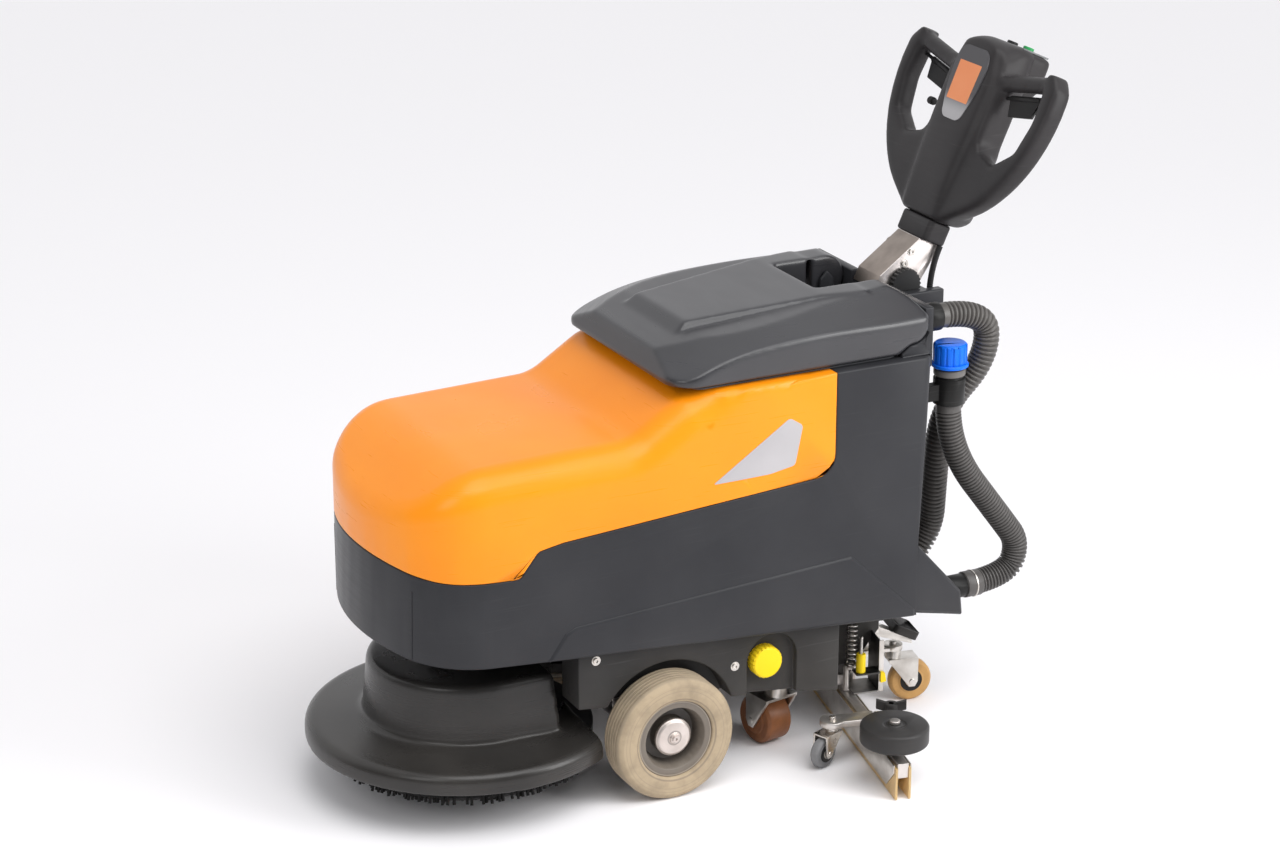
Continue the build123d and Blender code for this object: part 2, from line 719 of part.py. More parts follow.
def lid_blank(inset):
    """Lid outline from the side, with the hinge barrel, cut down along both flanks."""
    rim = TOWER_TOP + TUB_FLANGE + SEAM_GAP
    top = LID_HINGE_Z + LID_BARREL_RADIUS
    back = [
        (LID_HINGE_X, LID_HINGE_Z + LID_BARREL_RADIUS),
        (LID_HINGE_X - LID_BARREL_RADIUS, LID_HINGE_Z),
        (LID_HINGE_X, LID_HINGE_Z - LID_BARREL_RADIUS),
    ]
    front = LID_FRONT - inset
    crown = [
        (LID_HINGE_X + 22, rim - inset),
        (front, rim - inset),
        (front, LID_FRONT_Z - inset / 2),
        (front - LID_CREST_RUN, LID_CREST_Z - inset),
        (LID_FRONT - 78 - inset / 2, top - 29 - inset),
        (LID_HINGE_X + 121, top - 7 - inset),
    ]
    if inset > 0:
        crown.append((LID_HINGE_X + 24, top - inset))
        crown.append((LID_HINGE_X + 24, rim - inset))
        side = polygon(*crown[1:])
    else:
        edges = Polyline(*([back[2]] + crown + [back[0]])).edges()
        side = make_face(edges + ThreePointArc(*back).edges())
    half = LID_HALF - inset
    rear = LID_HINGE_X - LID_BARREL_RADIUS
    plan = Pos((front + rear) / 2, 0) * Rectangle(front - rear, 2 * half)
    plan = fillet(plan.vertices().filter_by(lambda v: v.X > rear + 1), LID_CORNER_RADIUS - inset)
    plan = fillet(plan.vertices().filter_by(lambda v: v.X < rear + 1), LID_REAR_CORNER - inset)
    blank = across(side, -half, half) & extrude(Pos(0, 0, rim - 20) * plan, amount=top - rim + 60)
    inner = half - 3 * LID_CORNER_RADIUS
    for side_sign in (1, -1):
        stations = []
        for ahead, level in LID_CREASE:
            crease = LID_HINGE_Z + level - inset
            wedge = polygon(
                (side_sign * half, crease),
                (side_sign * inner, crease + LID_FLANK_SLOPE * (half - inner)),
                (side_sign * inner, top + 120),
                (side_sign * (half + 60), top + 120),
                (side_sign * (half + 60), crease),
            )
            stations.append(Plane(origin=(LID_FRONT + ahead, 0, 0), x_dir=(0, 1, 0), z_dir=(1, 0, 0)) * wedge)
        blank -= loft(stations)
    return blank


def lid():
    """Hollow lid with a raised panel and a pocket for the handle column."""
    rim = TOWER_TOP + TUB_FLANGE + SEAM_GAP
    top = LID_HINGE_Z + LID_BARREL_RADIUS
    outer = lid_blank(0)
    panel_rear = LID_HINGE_X + 34
    levels = []
    for level, inset in ((rim + 40, 0), (top + 5, LID_PANEL_LEAN)):
        front_half = LID_PANEL_FRONT_HALF - inset
        rear_half = LID_PANEL_REAR_HALF - inset
        outline = polygon(
            (LID_PANEL_FRONT, -front_half),
            (panel_rear, -rear_half),
            (panel_rear, rear_half),
            (LID_PANEL_FRONT, front_half),
        )
        levels.append(Pos(0, 0, level) * outline)
    panel = loft(levels)
    lifted = across(
        polygon(
            (LID_PANEL_FRONT, rim + 40),
            (LID_PANEL_FRONT, top - 37),
            (LID_PANEL_FRONT - 22, top - 31 + LID_PANEL_RISE),
            (POCKET_FRONT + 12, top),
            (panel_rear, top),
            (panel_rear, rim + 40),
        ),
        -LID_HALF,
        LID_HALF,
    )
    shape = outer + (panel & lifted)
    shape -= lid_blank(LID_WALL)
    tub = block(POCKET_FLOOR_REAR, POCKET_FRONT + LID_WALL, -POCKET_HALF - LID_WALL, POCKET_HALF + LID_WALL,
                POCKET_FLOOR - LID_WALL, top + 20)
    shape += tub & outer
    shape -= block(POCKET_FLOOR_REAR, POCKET_FRONT, -POCKET_HALF, POCKET_HALF, POCKET_FLOOR, top + 20)
    shape -= block(LID_HINGE_X - LID_BARREL_RADIUS - 5, POCKET_FLOOR_REAR, -POCKET_HALF, POCKET_HALF,
                   rim - 20, top + 20)
    reach = POCKET_HALF + HINGE_PIN_REACH
    shape -= bar((LID_HINGE_X, -reach, LID_HINGE_Z), (LID_HINGE_X, reach, LID_HINGE_Z),
                 HINGE_PIN_RADIUS + RUN_GAP)
    return shape


# Handle

def handle_clevis():
    """Foot of the handle on the console: plate, lug, cross pin and two toothed discs."""
    lug_half = COLUMN_HALF - COLUMN_CHEEK - RUN_GAP
    foot = block(PIVOT_X - 32, PIVOT_X + 26, -CLEVIS_HALF, CLEVIS_HALF, CONSOLE_FLOOR, CONSOLE_FLOOR + 5)
    lug = block(PIVOT_X - PIVOT_LUG_RADIUS, PIVOT_X + PIVOT_LUG_RADIUS, -lug_half, lug_half,
                CONSOLE_FLOOR, PIVOT_Z)
    lug += bar((PIVOT_X, -lug_half, PIVOT_Z), (PIVOT_X, lug_half, PIVOT_Z), PIVOT_LUG_RADIUS)
    pin = bar((PIVOT_X, -CLEVIS_HALF, PIVOT_Z), (PIVOT_X, CLEVIS_HALF, PIVOT_Z), PIVOT_PIN_RADIUS)
    tooth = []
    for i in range(TOOTHED_DISC_TEETH):
        for half_step, radius in ((0, TOOTHED_DISC_RADIUS), (0.5, TOOTHED_DISC_RADIUS - 2.5)):
            angle = 2 * math.pi * (i + half_step) / TOOTHED_DISC_TEETH
            tooth.append((PIVOT_X + radius * math.cos(angle), PIVOT_Z + radius * math.sin(angle)))
    disc = across(polygon(*tooth), COLUMN_HALF + SWING_GAP, CLEVIS_HALF)
    return foot + lug + pin + disc + mirrored(disc)


def column_casting():
    """Cast foot of the column: two cheeks on the cross pin under a solid neck."""
    front_top = head_point(0, SLEEVE_FOOT, HEAD_FRONT)
    back_top = head_point(0, SLEEVE_FOOT, -SLEEVE_DEPTH + 2)
    outline = polygon(
        (PIVOT_X + 52, PIVOT_Z - 4),
        (PIVOT_X + 42, PIVOT_Z + 17),
        (front_top[0], front_top[2]),
        (back_top[0], back_top[2]),
        (PIVOT_X - 24, PIVOT_Z - 14),
        (PIVOT_X, PIVOT_Z - 24),
        (PIVOT_X + 24, PIVOT_Z - 14),
    )
    casting = across(outline, -COLUMN_HALF, COLUMN_HALF)
    inner = COLUMN_HALF - COLUMN_CHEEK
    casting -= bar((PIVOT_X, -inner, PIVOT_Z), (PIVOT_X, inner, PIVOT_Z), PIVOT_LUG_RADIUS + 3)
    casting -= block(PIVOT_X - 60, PIVOT_X + PIVOT_LUG_RADIUS + 15, -inner, inner, PIVOT_Z - 40, PIVOT_Z)
    casting -= bar((PIVOT_X, -COLUMN_HALF - 1, PIVOT_Z), (PIVOT_X, COLUMN_HALF + 1, PIVOT_Z),
                   PIVOT_PIN_RADIUS + RUN_GAP)
    return casting


def column_sleeve():
    """Moulded sleeve between the casting and the head."""
    middle = (SLEEVE_FOOT + HEAD_FOOT) / 2
    outline = Pos(0, middle) * Rectangle(2 * SLEEVE_HALF, HEAD_FOOT - SLEEVE_FOOT)
    sleeve = on_head(outline, -SLEEVE_DEPTH, HEAD_FRONT)
    upward = HEAD_PLANE.y_dir
    corners = sleeve.edges().filter_by(lambda e: abs((e % 0.5).dot(upward)) > 0.99)
    return fillet(corners, 10)


def head_outline():
    """Outer outline of the head: two swept arms that rise to the hand grips."""
    reach = LOOP_ARC_RADIUS
    low_side = SLEEVE_HALF + 47
    low = (low_side, LOOP_ARC_UP - math.sqrt(reach ** 2 - (low_side + LOOP_ARC_OFFSET) ** 2))
    rise = 36.0
    high = (math.sqrt(reach ** 2 - rise ** 2) - LOOP_ARC_OFFSET, LOOP_ARC_UP + rise)
    turn = math.radians(-35)
    middle = (reach * math.cos(turn) - LOOP_ARC_OFFSET, LOOP_ARC_UP + reach * math.sin(turn))
    top = [
        high,
        (LOOP_TOP_HALF, LOOP_TOP_UP),
        (70, GRIP_INNER_UP + 16),
        (62, HEAD_TOP - 8),
        (50, HEAD_TOP),
    ]
    top_left = [(-x, y) for x, y in reversed(top)]
    foot = [(-low[0], low[1]), (-SLEEVE_HALF - 7, HEAD_FOOT), (SLEEVE_HALF + 7, HEAD_FOOT), low]
    edges = Polyline(*foot).edges() + Polyline(*(top + top_left)).edges()
    edges += ThreePointArc(low, middle, high).edges()
    edges += ThreePointArc((-low[0], low[1]), (-middle[0], middle[1]), (-high[0], high[1])).edges()
    return make_face(edges)


def loop_opening(sign):
    """Hand opening of one loop, open at the top where the grip crosses."""
    points = [
        (LOOP_INNER_HALF, GRIP_INNER_UP + 60),
        (LOOP_INNER_HALF, 130),
        (LOOP_INNER_HALF + 10, 116),
        (LOOP_TOP_HALF - 62, 105),
        (LOOP_TOP_HALF - 18, 136),
        (LOOP_TOP_HALF - 4, 190),
        (LOOP_TOP_HALF - 16, GRIP_OUTER_UP + 60),
    ]
    return polygon(*[(sign * x, y) for x, y in points])


def head_half(out0, out1, edge_out):
    """One half of the head between two depths, with its outer edges rounded."""
    half = on_head(head_outline(), out0, out1)
    for sign in (1, -1):
        half -= on_head(loop_opening(sign), out0 - 1, out1 + 1)
    level = HEAD_PLANE.offset(edge_out)
    rim = half.edges().filter_by(
        lambda e: abs(level.to_local_coords(e.center()).Z) < 0.01
        and abs(level.to_local_coords(e @ 0).Z) < 0.01
    )
    half = chamfer(rim, 4.5)
    for sign in (1, -1):
        grip = bar(head_point(sign * GRIP_INNER_HALF, GRIP_INNER_UP, HEAD_PARTING),
                   head_point(sign * GRIP_OUTER_HALF, GRIP_OUTER_UP, HEAD_PARTING), GRIP_RADIUS)
        slab = on_head(Pos(0, LOOP_ARC_UP) * Rectangle(HEAD_SLAB, HEAD_SLAB), out0 - 5, out1 + 5)
        keep = on_head(Pos(0, LOOP_ARC_UP) * Rectangle(HEAD_SLAB, HEAD_SLAB),
                       min(out0, HEAD_PARTING), max(out1, HEAD_PARTING))
        half += grip & slab & keep
    return half


def head_front_shell():
    """Front half of the head with its raised middle."""
    shell = head_half(HEAD_PARTING, HEAD_FRONT, HEAD_FRONT)
    hump = polygon(
        (-SLEEVE_HALF - 8, HEAD_FOOT + 1),
        (SLEEVE_HALF + 8, HEAD_FOOT + 1),
        (62, 120),
        (66, 225),
        (48, HEAD_TOP - 2),
        (-48, HEAD_TOP - 2),
        (-66, 225),
        (-62, 120),
    )
    return shell + on_head(hump, HEAD_FRONT - 2, HEAD_FRONT + HUMP_RISE, taper=24)


def trigger_line(sign, along, drop, out):
    """Point beside a grip: along it from its inner end, then square below it."""
    dx = GRIP_OUTER_HALF - GRIP_INNER_HALF
    dy = GRIP_OUTER_UP - GRIP_INNER_UP
    run = math.hypot(dx, dy)
    side = GRIP_INNER_HALF + along * dx / run + drop * dy / run
    up = GRIP_INNER_UP + along * dy / run - drop * dx / run
    return head_point(sign * side, up, out)


def box_point(up, out):
    """Point of the control box seen from the side."""
    point = head_point(0, up, out)
    return (point[0], point[2])


def button_place(side, up):
    """Point on a button's line at a height of the head."""
    return head_point(side, up, (PANEL_FRONT + PANEL_BACK) / 2)


def head_rear_shell():
    """Rear half of the head with the control box behind it."""
    shell = head_half(HEAD_BACK, HEAD_PARTING, HEAD_BACK)
    box = across(
        polygon(
            box_point(BOX_FOOT - 14, HEAD_BACK + 2),
            box_point(HEAD_TOP - PANEL_THICKNESS, HEAD_BACK + 2),
            box_point(HEAD_TOP - PANEL_THICKNESS, BOX_BACK + 6),
            box_point(HEAD_TOP - PANEL_THICKNESS - 8, BOX_BACK),
            box_point(BOX_FOOT + 34, BOX_BACK),
            box_point(BOX_FOOT, BOX_BACK + 26),
        ),
        -BOX_HALF,
        BOX_HALF,
    )
    upward = HEAD_PLANE.y_dir
    corners = box.edges().filter_by(
        lambda e: abs((e % 0.5).dot(upward)) > 0.99
        and HEAD_PLANE.to_local_coords(e.center()).Z < BOX_BACK + 1
    )
    shell += chamfer(corners, 8)
    for side in (-BUTTON_SPACING, BUTTON_SPACING):
        shell -= bar(button_place(side, HEAD_TOP - 14), button_place(side, HEAD_TOP + 5),
                     BUTTON_RADIUS + RUN_GAP)
    for sign in (1, -1):
        pin_run = math.hypot(GRIP_OUTER_HALF - GRIP_INNER_HALF, GRIP_OUTER_UP - GRIP_INNER_UP)
        shell -= bar(trigger_line(sign, -4, TRIGGER_DROP, TRIGGER_DEPTH),
                     trigger_line(sign, pin_run, TRIGGER_DROP, TRIGGER_DEPTH), TRIGGER_PIN + RUN_GAP)
    ball = head_point(DOSING_SINK - LOOP_INNER_HALF, DOSING_UP, DOSING_DEPTH)
    shell -= Pos(*ball) * Sphere(DOSING_BALL + RUN_GAP)
    bore_reach = DOSING_PIN_REACH + RUN_GAP
    shell -= bar(head_point(DOSING_SINK - LOOP_INNER_HALF, DOSING_UP, DOSING_DEPTH - bore_reach),
                 head_point(DOSING_SINK - LOOP_INNER_HALF, DOSING_UP, DOSING_DEPTH + bore_reach),
                 DOSING_PIN + RUN_GAP)
    slot = Pos(-LOOP_INNER_HALF, DOSING_UP) * Rectangle(18, 2 * DOSING_ROD + 9)
    reach = DOSING_ROD + SWING_GAP / 2
    shell -= on_head(slot, DOSING_DEPTH - reach, DOSING_DEPTH + reach)
    return shell


def label_panel():
    """Plain plate on the raised middle of the head."""
    face = HEAD_FRONT + HUMP_RISE
    outline = polygon((-26, 146), (26, 146), (46, 196), (46, 256),
                      (36, 270), (-36, 270), (-46, 256), (-46, 196))
    return on_head(outline, face, face + LABEL_THICKNESS)


def control_panel():
    """Plate on top of the control box, with a hole for each button."""
    base = HEAD_TOP - PANEL_THICKNESS
    outline = polygon(
        box_point(base, PANEL_FRONT),
        box_point(HEAD_TOP, PANEL_FRONT),
        box_point(HEAD_TOP, PANEL_BACK),
        box_point(base, PANEL_BACK),
    )
    panel = across(outline, -PANEL_HALF, PANEL_HALF)
    for side in (-BUTTON_SPACING, BUTTON_SPACING):
        panel -= bar(button_place(side, base - 5), button_place(side, HEAD_TOP + 5), BUTTON_RADIUS + RUN_GAP)
    return panel


def push_button(side):
    """Round push button, standing proud of the panel."""
    foot = button_place(side, HEAD_TOP - 14 + BUTTON_TRAVEL + RUN_GAP + 2)
    button = bar(foot, button_place(side, HEAD_TOP + BUTTON_RISE), BUTTON_RADIUS)
    top = button.faces().sort_by(Axis.Z)[-1]
    return chamfer(top.edges(), 1.2)


def trigger(sign):
    """Paddle under a grip on its own hinge pin."""
    pin_run = math.hypot(GRIP_OUTER_HALF - GRIP_INNER_HALF, GRIP_OUTER_UP - GRIP_INNER_UP)
    body = bar(trigger_line(sign, TRIGGER_INNER, TRIGGER_DROP, TRIGGER_DEPTH),
               trigger_line(sign, TRIGGER_OUTER, TRIGGER_DROP, TRIGGER_DEPTH), TRIGGER_BARREL)
    body += bar(trigger_line(sign, -3, TRIGGER_DROP, TRIGGER_DEPTH),
                trigger_line(sign, pin_run - 1, TRIGGER_DROP, TRIGGER_DEPTH), TRIGGER_PIN)
    dx = GRIP_OUTER_HALF - GRIP_INNER_HALF
    dy = GRIP_OUTER_UP - GRIP_INNER_UP
    run = math.hypot(dx, dy)
    corners = []
    for along, drop in ((TRIGGER_INNER, TRIGGER_DROP), (TRIGGER_OUTER, TRIGGER_DROP),
                        (TRIGGER_OUTER - 12, TRIGGER_DROP + TRIGGER_BLADE),
                        (TRIGGER_INNER + 6, TRIGGER_DROP + TRIGGER_BLADE)):
        side = GRIP_INNER_HALF + along * dx / run + drop * dy / run
        up = GRIP_INNER_UP + along * dy / run - drop * dx / run
        corners.append((sign * side, up))
    blade = on_head(polygon(*corners), TRIGGER_DEPTH - TRIGGER_THICKNESS / 2,
                    TRIGGER_DEPTH + TRIGGER_THICKNESS / 2)
    return body + blade


def dosing_lever():
    """Small lever in the right loop: ball, rod and knob."""
    ball = head_point(DOSING_SINK - LOOP_INNER_HALF, DOSING_UP, DOSING_DEPTH)
    reach = DOSING_SINK - LOOP_INNER_HALF - DOSING_LENGTH
    tip = head_point(reach, DOSING_UP, DOSING_DEPTH)
    lever = Pos(*ball) * Sphere(DOSING_BALL)
    lever += bar(head_point(DOSING_SINK - LOOP_INNER_HALF, DOSING_UP, DOSING_DEPTH - DOSING_PIN_REACH),
                 head_point(DOSING_SINK - LOOP_INNER_HALF, DOSING_UP, DOSING_DEPTH + DOSING_PIN_REACH),
                 DOSING_PIN)
    lever += bar(ball, tip, DOSING_ROD)
    lever += bar(head_point(reach + 12, DOSING_UP, DOSING_DEPTH), tip, DOSING_ROD + 2.5)
    return lever


# Chassis and drive

def chassis_frame():
    """Frame below the tank: wheel arches, drive bay, pivot and castor bosses, arm lugs."""
    outline = polygon(
        (CHASSIS_FRONT, CHASSIS_FRONT_Z),
        (CHASSIS_FRONT, tank_floor(CHASSIS_FRONT)),
        (CHASSIS_REAR, tank_floor(CHASSIS_REAR)),
        (CHASSIS_REAR, CHASSIS_REAR_Z),
        (CHASSIS_MID_X, CHASSIS_MID_Z),
    )
    frame = across(outline, -CHASSIS_HALF, CHASSIS_HALF)
    frame -= block(DRIVE_BAY_REAR, DRIVE_BAY_FRONT, -DRIVE_BAY_HALF, DRIVE_BAY_HALF, 0, DRIVE_BAY_TOP)
    frame -= block(DRIVE_BAY_FRONT - 5, CHASSIS_FRONT + 5, -DECK_WINDOW_HALF, DECK_WINDOW_HALF,
                   0, DRIVE_BAY_TOP)
    arch = bar((0, ARCH_INNER_Y, WHEEL_RADIUS), (0, CHASSIS_HALF + 5, WHEEL_RADIUS), ARCH_RADIUS)
    arch += bar((0, DRIVE_BAY_HALF - 5, WHEEL_RADIUS), (0, ARCH_INNER_Y + 5, WHEEL_RADIUS), AXLE_TUBE_RADIUS + 4)
    frame -= arch
    frame -= mirrored(arch)
    rear_bay = polygon(
        (REAR_BAY_FRONT, CHASSIS_MID_Z + CHASSIS_WALL + 12),
        (REAR_BAY_FRONT, tank_floor(REAR_BAY_FRONT) + 5),
        (CHASSIS_REAR + CHASSIS_WALL, tank_floor(CHASSIS_REAR) + 5),
        (CHASSIS_REAR + CHASSIS_WALL, CHASSIS_REAR_Z + CHASSIS_WALL + 2),
        (CHASSIS_MID_X, CHASSIS_MID_Z + CHASSIS_WALL),
    )
    frame -= across(rear_bay, -REAR_BAY_HALF, REAR_BAY_HALF)

    kingpin = castor_kingpin()
    boss = upright(kingpin[0], kingpin[1], CASTOR_BOSS_Z, CASTOR_BOSS_Z + 46, CASTOR_BOSS_RADIUS)
    bore = upright(kingpin[0], kingpin[1], CASTOR_BOSS_Z - 10, CASTOR_BOSS_Z + 33, 8 + RUN_GAP)
    frame += boss
    frame += mirrored(boss)
    frame -= upright(kingpin[0], kingpin[1], CASTOR_BOSS_Z - 30, CASTOR_BOSS_Z, CASTOR_BOSS_RADIUS)
    frame -= upright(kingpin[0], -kingpin[1], CASTOR_BOSS_Z - 30, CASTOR_BOSS_Z, CASTOR_BOSS_RADIUS)
    frame -= bore
    frame -= mirrored(bore)
    frame += upright(SWING_X, 0, SWING_BOSS_Z, SWING_BOSS_Z + 66, SWING_PIN_RADIUS + 17)
    frame -= upright(SWING_X, 0, SWING_BOSS_Z - 5, SWING_BOSS_Z + 46, SWING_PIN_RADIUS + RUN_GAP)

    lug_y = ARM_INNER + ARM_WIDTH + LUG_GAP
    lug = block(ARM_CHASSIS_X - LUG_RADIUS, ARM_CHASSIS_X + LUG_RADIUS, lug_y, lug_y + LUG_WIDTH,
                LOWER_ARM_Z, DRIVE_BAY_TOP + 1)
    lug += bar((ARM_CHASSIS_X, lug_y, LOWER_ARM_Z), (ARM_CHASSIS_X, lug_y + LUG_WIDTH, LOWER_ARM_Z), LUG_RADIUS)
    for z in (LOWER_ARM_Z, LOWER_ARM_Z + ARM_SPREAD):
        lug += bar((ARM_CHASSIS_X, ARM_INNER + 1, z), (ARM_CHASSIS_X, lug_y + 1, z), ARM_PIN_RADIUS)
    frame += lug
    frame += mirrored(lug)

    recess_x = FILTER_X - FILTER_RECESS_OFFSET
    recess = bar((recess_x, CHASSIS_HALF - FILTER_RECESS, FILTER_Z), (recess_x, CHASSIS_HALF + 5, FILTER_Z),
                 FILTER_RECESS_RADIUS)
    recess += block(recess_x - FILTER_RECESS_RADIUS, recess_x + FILTER_RECESS_RADIUS,
                    CHASSIS_HALF - FILTER_RECESS, CHASSIS_HALF + 5, 0, FILTER_Z)
    recess += bar((FILTER_X, REAR_BAY_HALF - 5, FILTER_Z), (FILTER_X, CHASSIS_HALF, FILTER_Z),
                  FILTER_STEM_RADIUS + RUN_GAP)
    return frame - recess


def filter_cap():
    """Fluted screw cap of the water filter, its stem in the frame."""
    face = CHASSIS_HALF - FILTER_RECESS + SEAM_GAP
    cap = bar((FILTER_X, face, FILTER_Z), (FILTER_X, face + FILTER_CAP_DEPTH, FILTER_Z), FILTER_CAP_RADIUS)
    cap = chamfer(cap.faces().sort_by(Axis.Y)[-1].edges(), 3)
    for i in range(FILTER_FLUTES):
        angle = 2 * math.pi * i / FILTER_FLUTES
        x = FILTER_X + (FILTER_CAP_RADIUS + 1) * math.cos(angle)
        z = FILTER_Z + (FILTER_CAP_RADIUS + 1) * math.sin(angle)
        cap -= bar((x, face - 1, z), (x, face + FILTER_CAP_DEPTH + 1, z), 2)
    return cap + bar((FILTER_X, face - 18, FILTER_Z), (FILTER_X, face + 1, FILTER_Z), FILTER_STEM_RADIUS)


def drive_transaxle():
    """Gearbox with its motor, the two axle tubes and the live shaft."""
    unit = block(GEARBOX_REAR, GEARBOX_FRONT, -GEARBOX_HALF, GEARBOX_HALF, GEARBOX_FOOT, GEARBOX_TOP)
    unit = fillet(unit.edges().filter_by(Axis.Y), 16)
    unit += bar((GEARBOX_REAR + 1, 0, WHEEL_RADIUS + 5),
                (GEARBOX_REAR - DRIVE_MOTOR_LENGTH, 0, WHEEL_RADIUS + 5), DRIVE_MOTOR_RADIUS)
    unit += block(GEARBOX_REAR + 12, GEARBOX_FRONT - 32, -GEARBOX_HALF + 14, GEARBOX_HALF - 14,
                  GEARBOX_TOP - 1, DRIVE_BAY_TOP)
    tube = ARCH_INNER_Y + 2
    unit += bar((0, -tube, WHEEL_RADIUS), (0, tube, WHEEL_RADIUS), AXLE_TUBE_RADIUS)
    end = WHEEL_OUTER_Y - RIM_FACE_INSET - RIM_FACE_INSET - 7
    return unit + bar((0, -end, WHEEL_RADIUS), (0, end, WHEEL_RADIUS), HUB_BORE - RUN_GAP)


def tyre():
    """Grooved tyre on the left wheel."""
    inner = WHEEL_OUTER_Y - TYRE_WIDTH
    outline = polygon(
        (RIM_RADIUS, inner + 3),
        (RIM_RADIUS, WHEEL_OUTER_Y - 3),
        (RIM_RADIUS + 6, WHEEL_OUTER_Y),
        (WHEEL_RADIUS - TYRE_SHOULDER, WHEEL_OUTER_Y),
        (WHEEL_RADIUS - 2, WHEEL_OUTER_Y - TYRE_SHOULDER / 2),
        (WHEEL_RADIUS, WHEEL_OUTER_Y - TYRE_SHOULDER),
        (WHEEL_RADIUS, inner + TYRE_SHOULDER),
        (WHEEL_RADIUS - 2, inner + TYRE_SHOULDER / 2),
        (WHEEL_RADIUS - TYRE_SHOULDER, inner),
        (RIM_RADIUS + 6, inner),
    )
    flat = TYRE_WIDTH - 2 * TYRE_SHOULDER
    for i in range(TREAD_GROOVES):
        y = inner + TYRE_SHOULDER + flat * (i + 0.5) / TREAD_GROOVES
        outline -= Pos(WHEEL_RADIUS, y) * Rectangle(2 * TREAD_GROOVE_DEPTH, TREAD_GROOVE_WIDTH)
    return turned_on_axle(outline, 0, WHEEL_RADIUS)


def wheel_hub():
    """Left rim: bead ring, dished web and hub on the shaft."""
    face = WHEEL_OUTER_Y - RIM_FACE_INSET
    inner = WHEEL_OUTER_Y - TYRE_WIDTH + 3
    web = face - RIM_WEB_INSET
    hub_face = face - RIM_FACE_INSET - 6
    outline = polygon(
        (HUB_BORE, hub_face - HUB_LENGTH),
        (HUB_BORE, hub_face),
        (HUB_RADIUS, hub_face),
        (HUB_RADIUS + 4, web + 1),
        (RIM_RADIUS - RIM_BEAD - 8, web),
        (RIM_RADIUS - RIM_BEAD, face),
        (RIM_RADIUS, face),
        (RIM_RADIUS, inner),
        (RIM_RADIUS - RIM_BEAD / 2, inner),
        (RIM_RADIUS - RIM_BEAD - 4, web - RIM_WEB),
        (HUB_RADIUS, web - RIM_WEB),
        (HUB_RADIUS, hub_face - HUB_LENGTH),
    )
    return turned_on_axle(outline, 0, WHEEL_RADIUS)


def hub_cap():
    """Domed cap over the left hub."""
    foot = WHEEL_OUTER_Y - 2 * RIM_FACE_INSET - 6
    outline = polygon(
        (0, foot),
        (HUB_CAP_RADIUS, foot),
        (HUB_CAP_RADIUS, foot + HUB_CAP_DEPTH - 4),
        (HUB_CAP_RADIUS - 5, foot + HUB_CAP_DEPTH),
        (9, foot + HUB_CAP_DEPTH),
        (8, foot + HUB_CAP_DEPTH + 3),
        (0, foot + HUB_CAP_DEPTH + 3),
    )
    return turned_on_axle(outline, 0, WHEEL_RADIUS)


# Power inside the tank

def on_tank_floor(shape, x, y):
    """Set a piece on the sloping floor inside the tank."""
    slope = math.degrees(math.atan(TANK_FLOOR_SLOPE))
    return Pos(x, y, tank_floor(x) + TANK_WALL) * Rot(0, -slope, 0) * shape


def battery_pair():
    """Two batteries side by side, each with two posts."""
    cells = []
    for sign in (1, -1):
        case = Pos(0, 0, BATTERY_HEIGHT / 2) * Box(BATTERY_LENGTH, BATTERY_WIDTH, BATTERY_HEIGHT)
        case = chamfer(case.edges().group_by(Axis.Z)[-1], 4)
        for end in (1, -1):
            case += upright(end * (BATTERY_LENGTH / 2 - 28), 0, BATTERY_HEIGHT - 1, BATTERY_HEIGHT + 12, BATTERY_POST)
        y = sign * (BATTERY_WIDTH + BATTERY_SPACING) / 2
        cells.append(on_tank_floor(case, BATTERY_CENTRE_X, y))
    return Compound(cells)


def vacuum_motor():
    """Suction motor standing in the tower."""
    rings = turned([
        (0, 0),
        (SUCTION_MOTOR_RADIUS, 0),
        (SUCTION_MOTOR_RADIUS, SUCTION_MOTOR_HEIGHT * 0.42),
        (SUCTION_MOTOR_RADIUS - 16, SUCTION_MOTOR_HEIGHT * 0.5),
        (SUCTION_MOTOR_RADIUS - 16, SUCTION_MOTOR_HEIGHT - 12),
        (SUCTION_MOTOR_RADIUS - 26, SUCTION_MOTOR_HEIGHT),
        (0, SUCTION_MOTOR_HEIGHT),
    ])
    return on_tank_floor(rings, SUCTION_MOTOR_X, 0)


# Castors

def castor_kingpin():
    """Kingpin of the left castor under the chassis."""
    turn = math.radians(180 + CASTOR_TURN)
    return (CASTOR_X - CASTOR_TRAIL * math.cos(turn), CASTOR_Y - CASTOR_TRAIL * math.sin(turn))


def castor_fork(radius, width, trail, axle, head_top, pin, pin_radius):
    """Swivel fork about its own kingpin, the wheel trailing towards -X."""
    inner = width / 2 + 1.5
    plate = 3.5 if radius < 38 else 4.5
    top = 2 * radius + 3
    cheek = polygon(
        (-trail - axle * 2, radius),
        (-trail - axle, radius - axle * 1.8),
        (-trail + axle, radius - axle * 1.8),
        (pin_radius * 1.8, top),
        (pin_radius * 1.8, top + plate),
        (-trail - axle * 2, top + plate),
    )
    fork = across(cheek, inner, inner + plate)
    fork += mirrored(fork)
    fork += block(-trail - axle * 2, pin_radius * 1.8, -inner - plate, inner + plate, top, top + plate)
    fork += upright(0, 0, top + plate - 1, head_top, pin_radius * 2.2)
    fork += upright(0, 0, head_top - 1, pin, pin_radius)
    fork += bar((-trail, -inner - plate - 2, radius), (-trail, inner + plate + 2, radius), axle)
    return fork


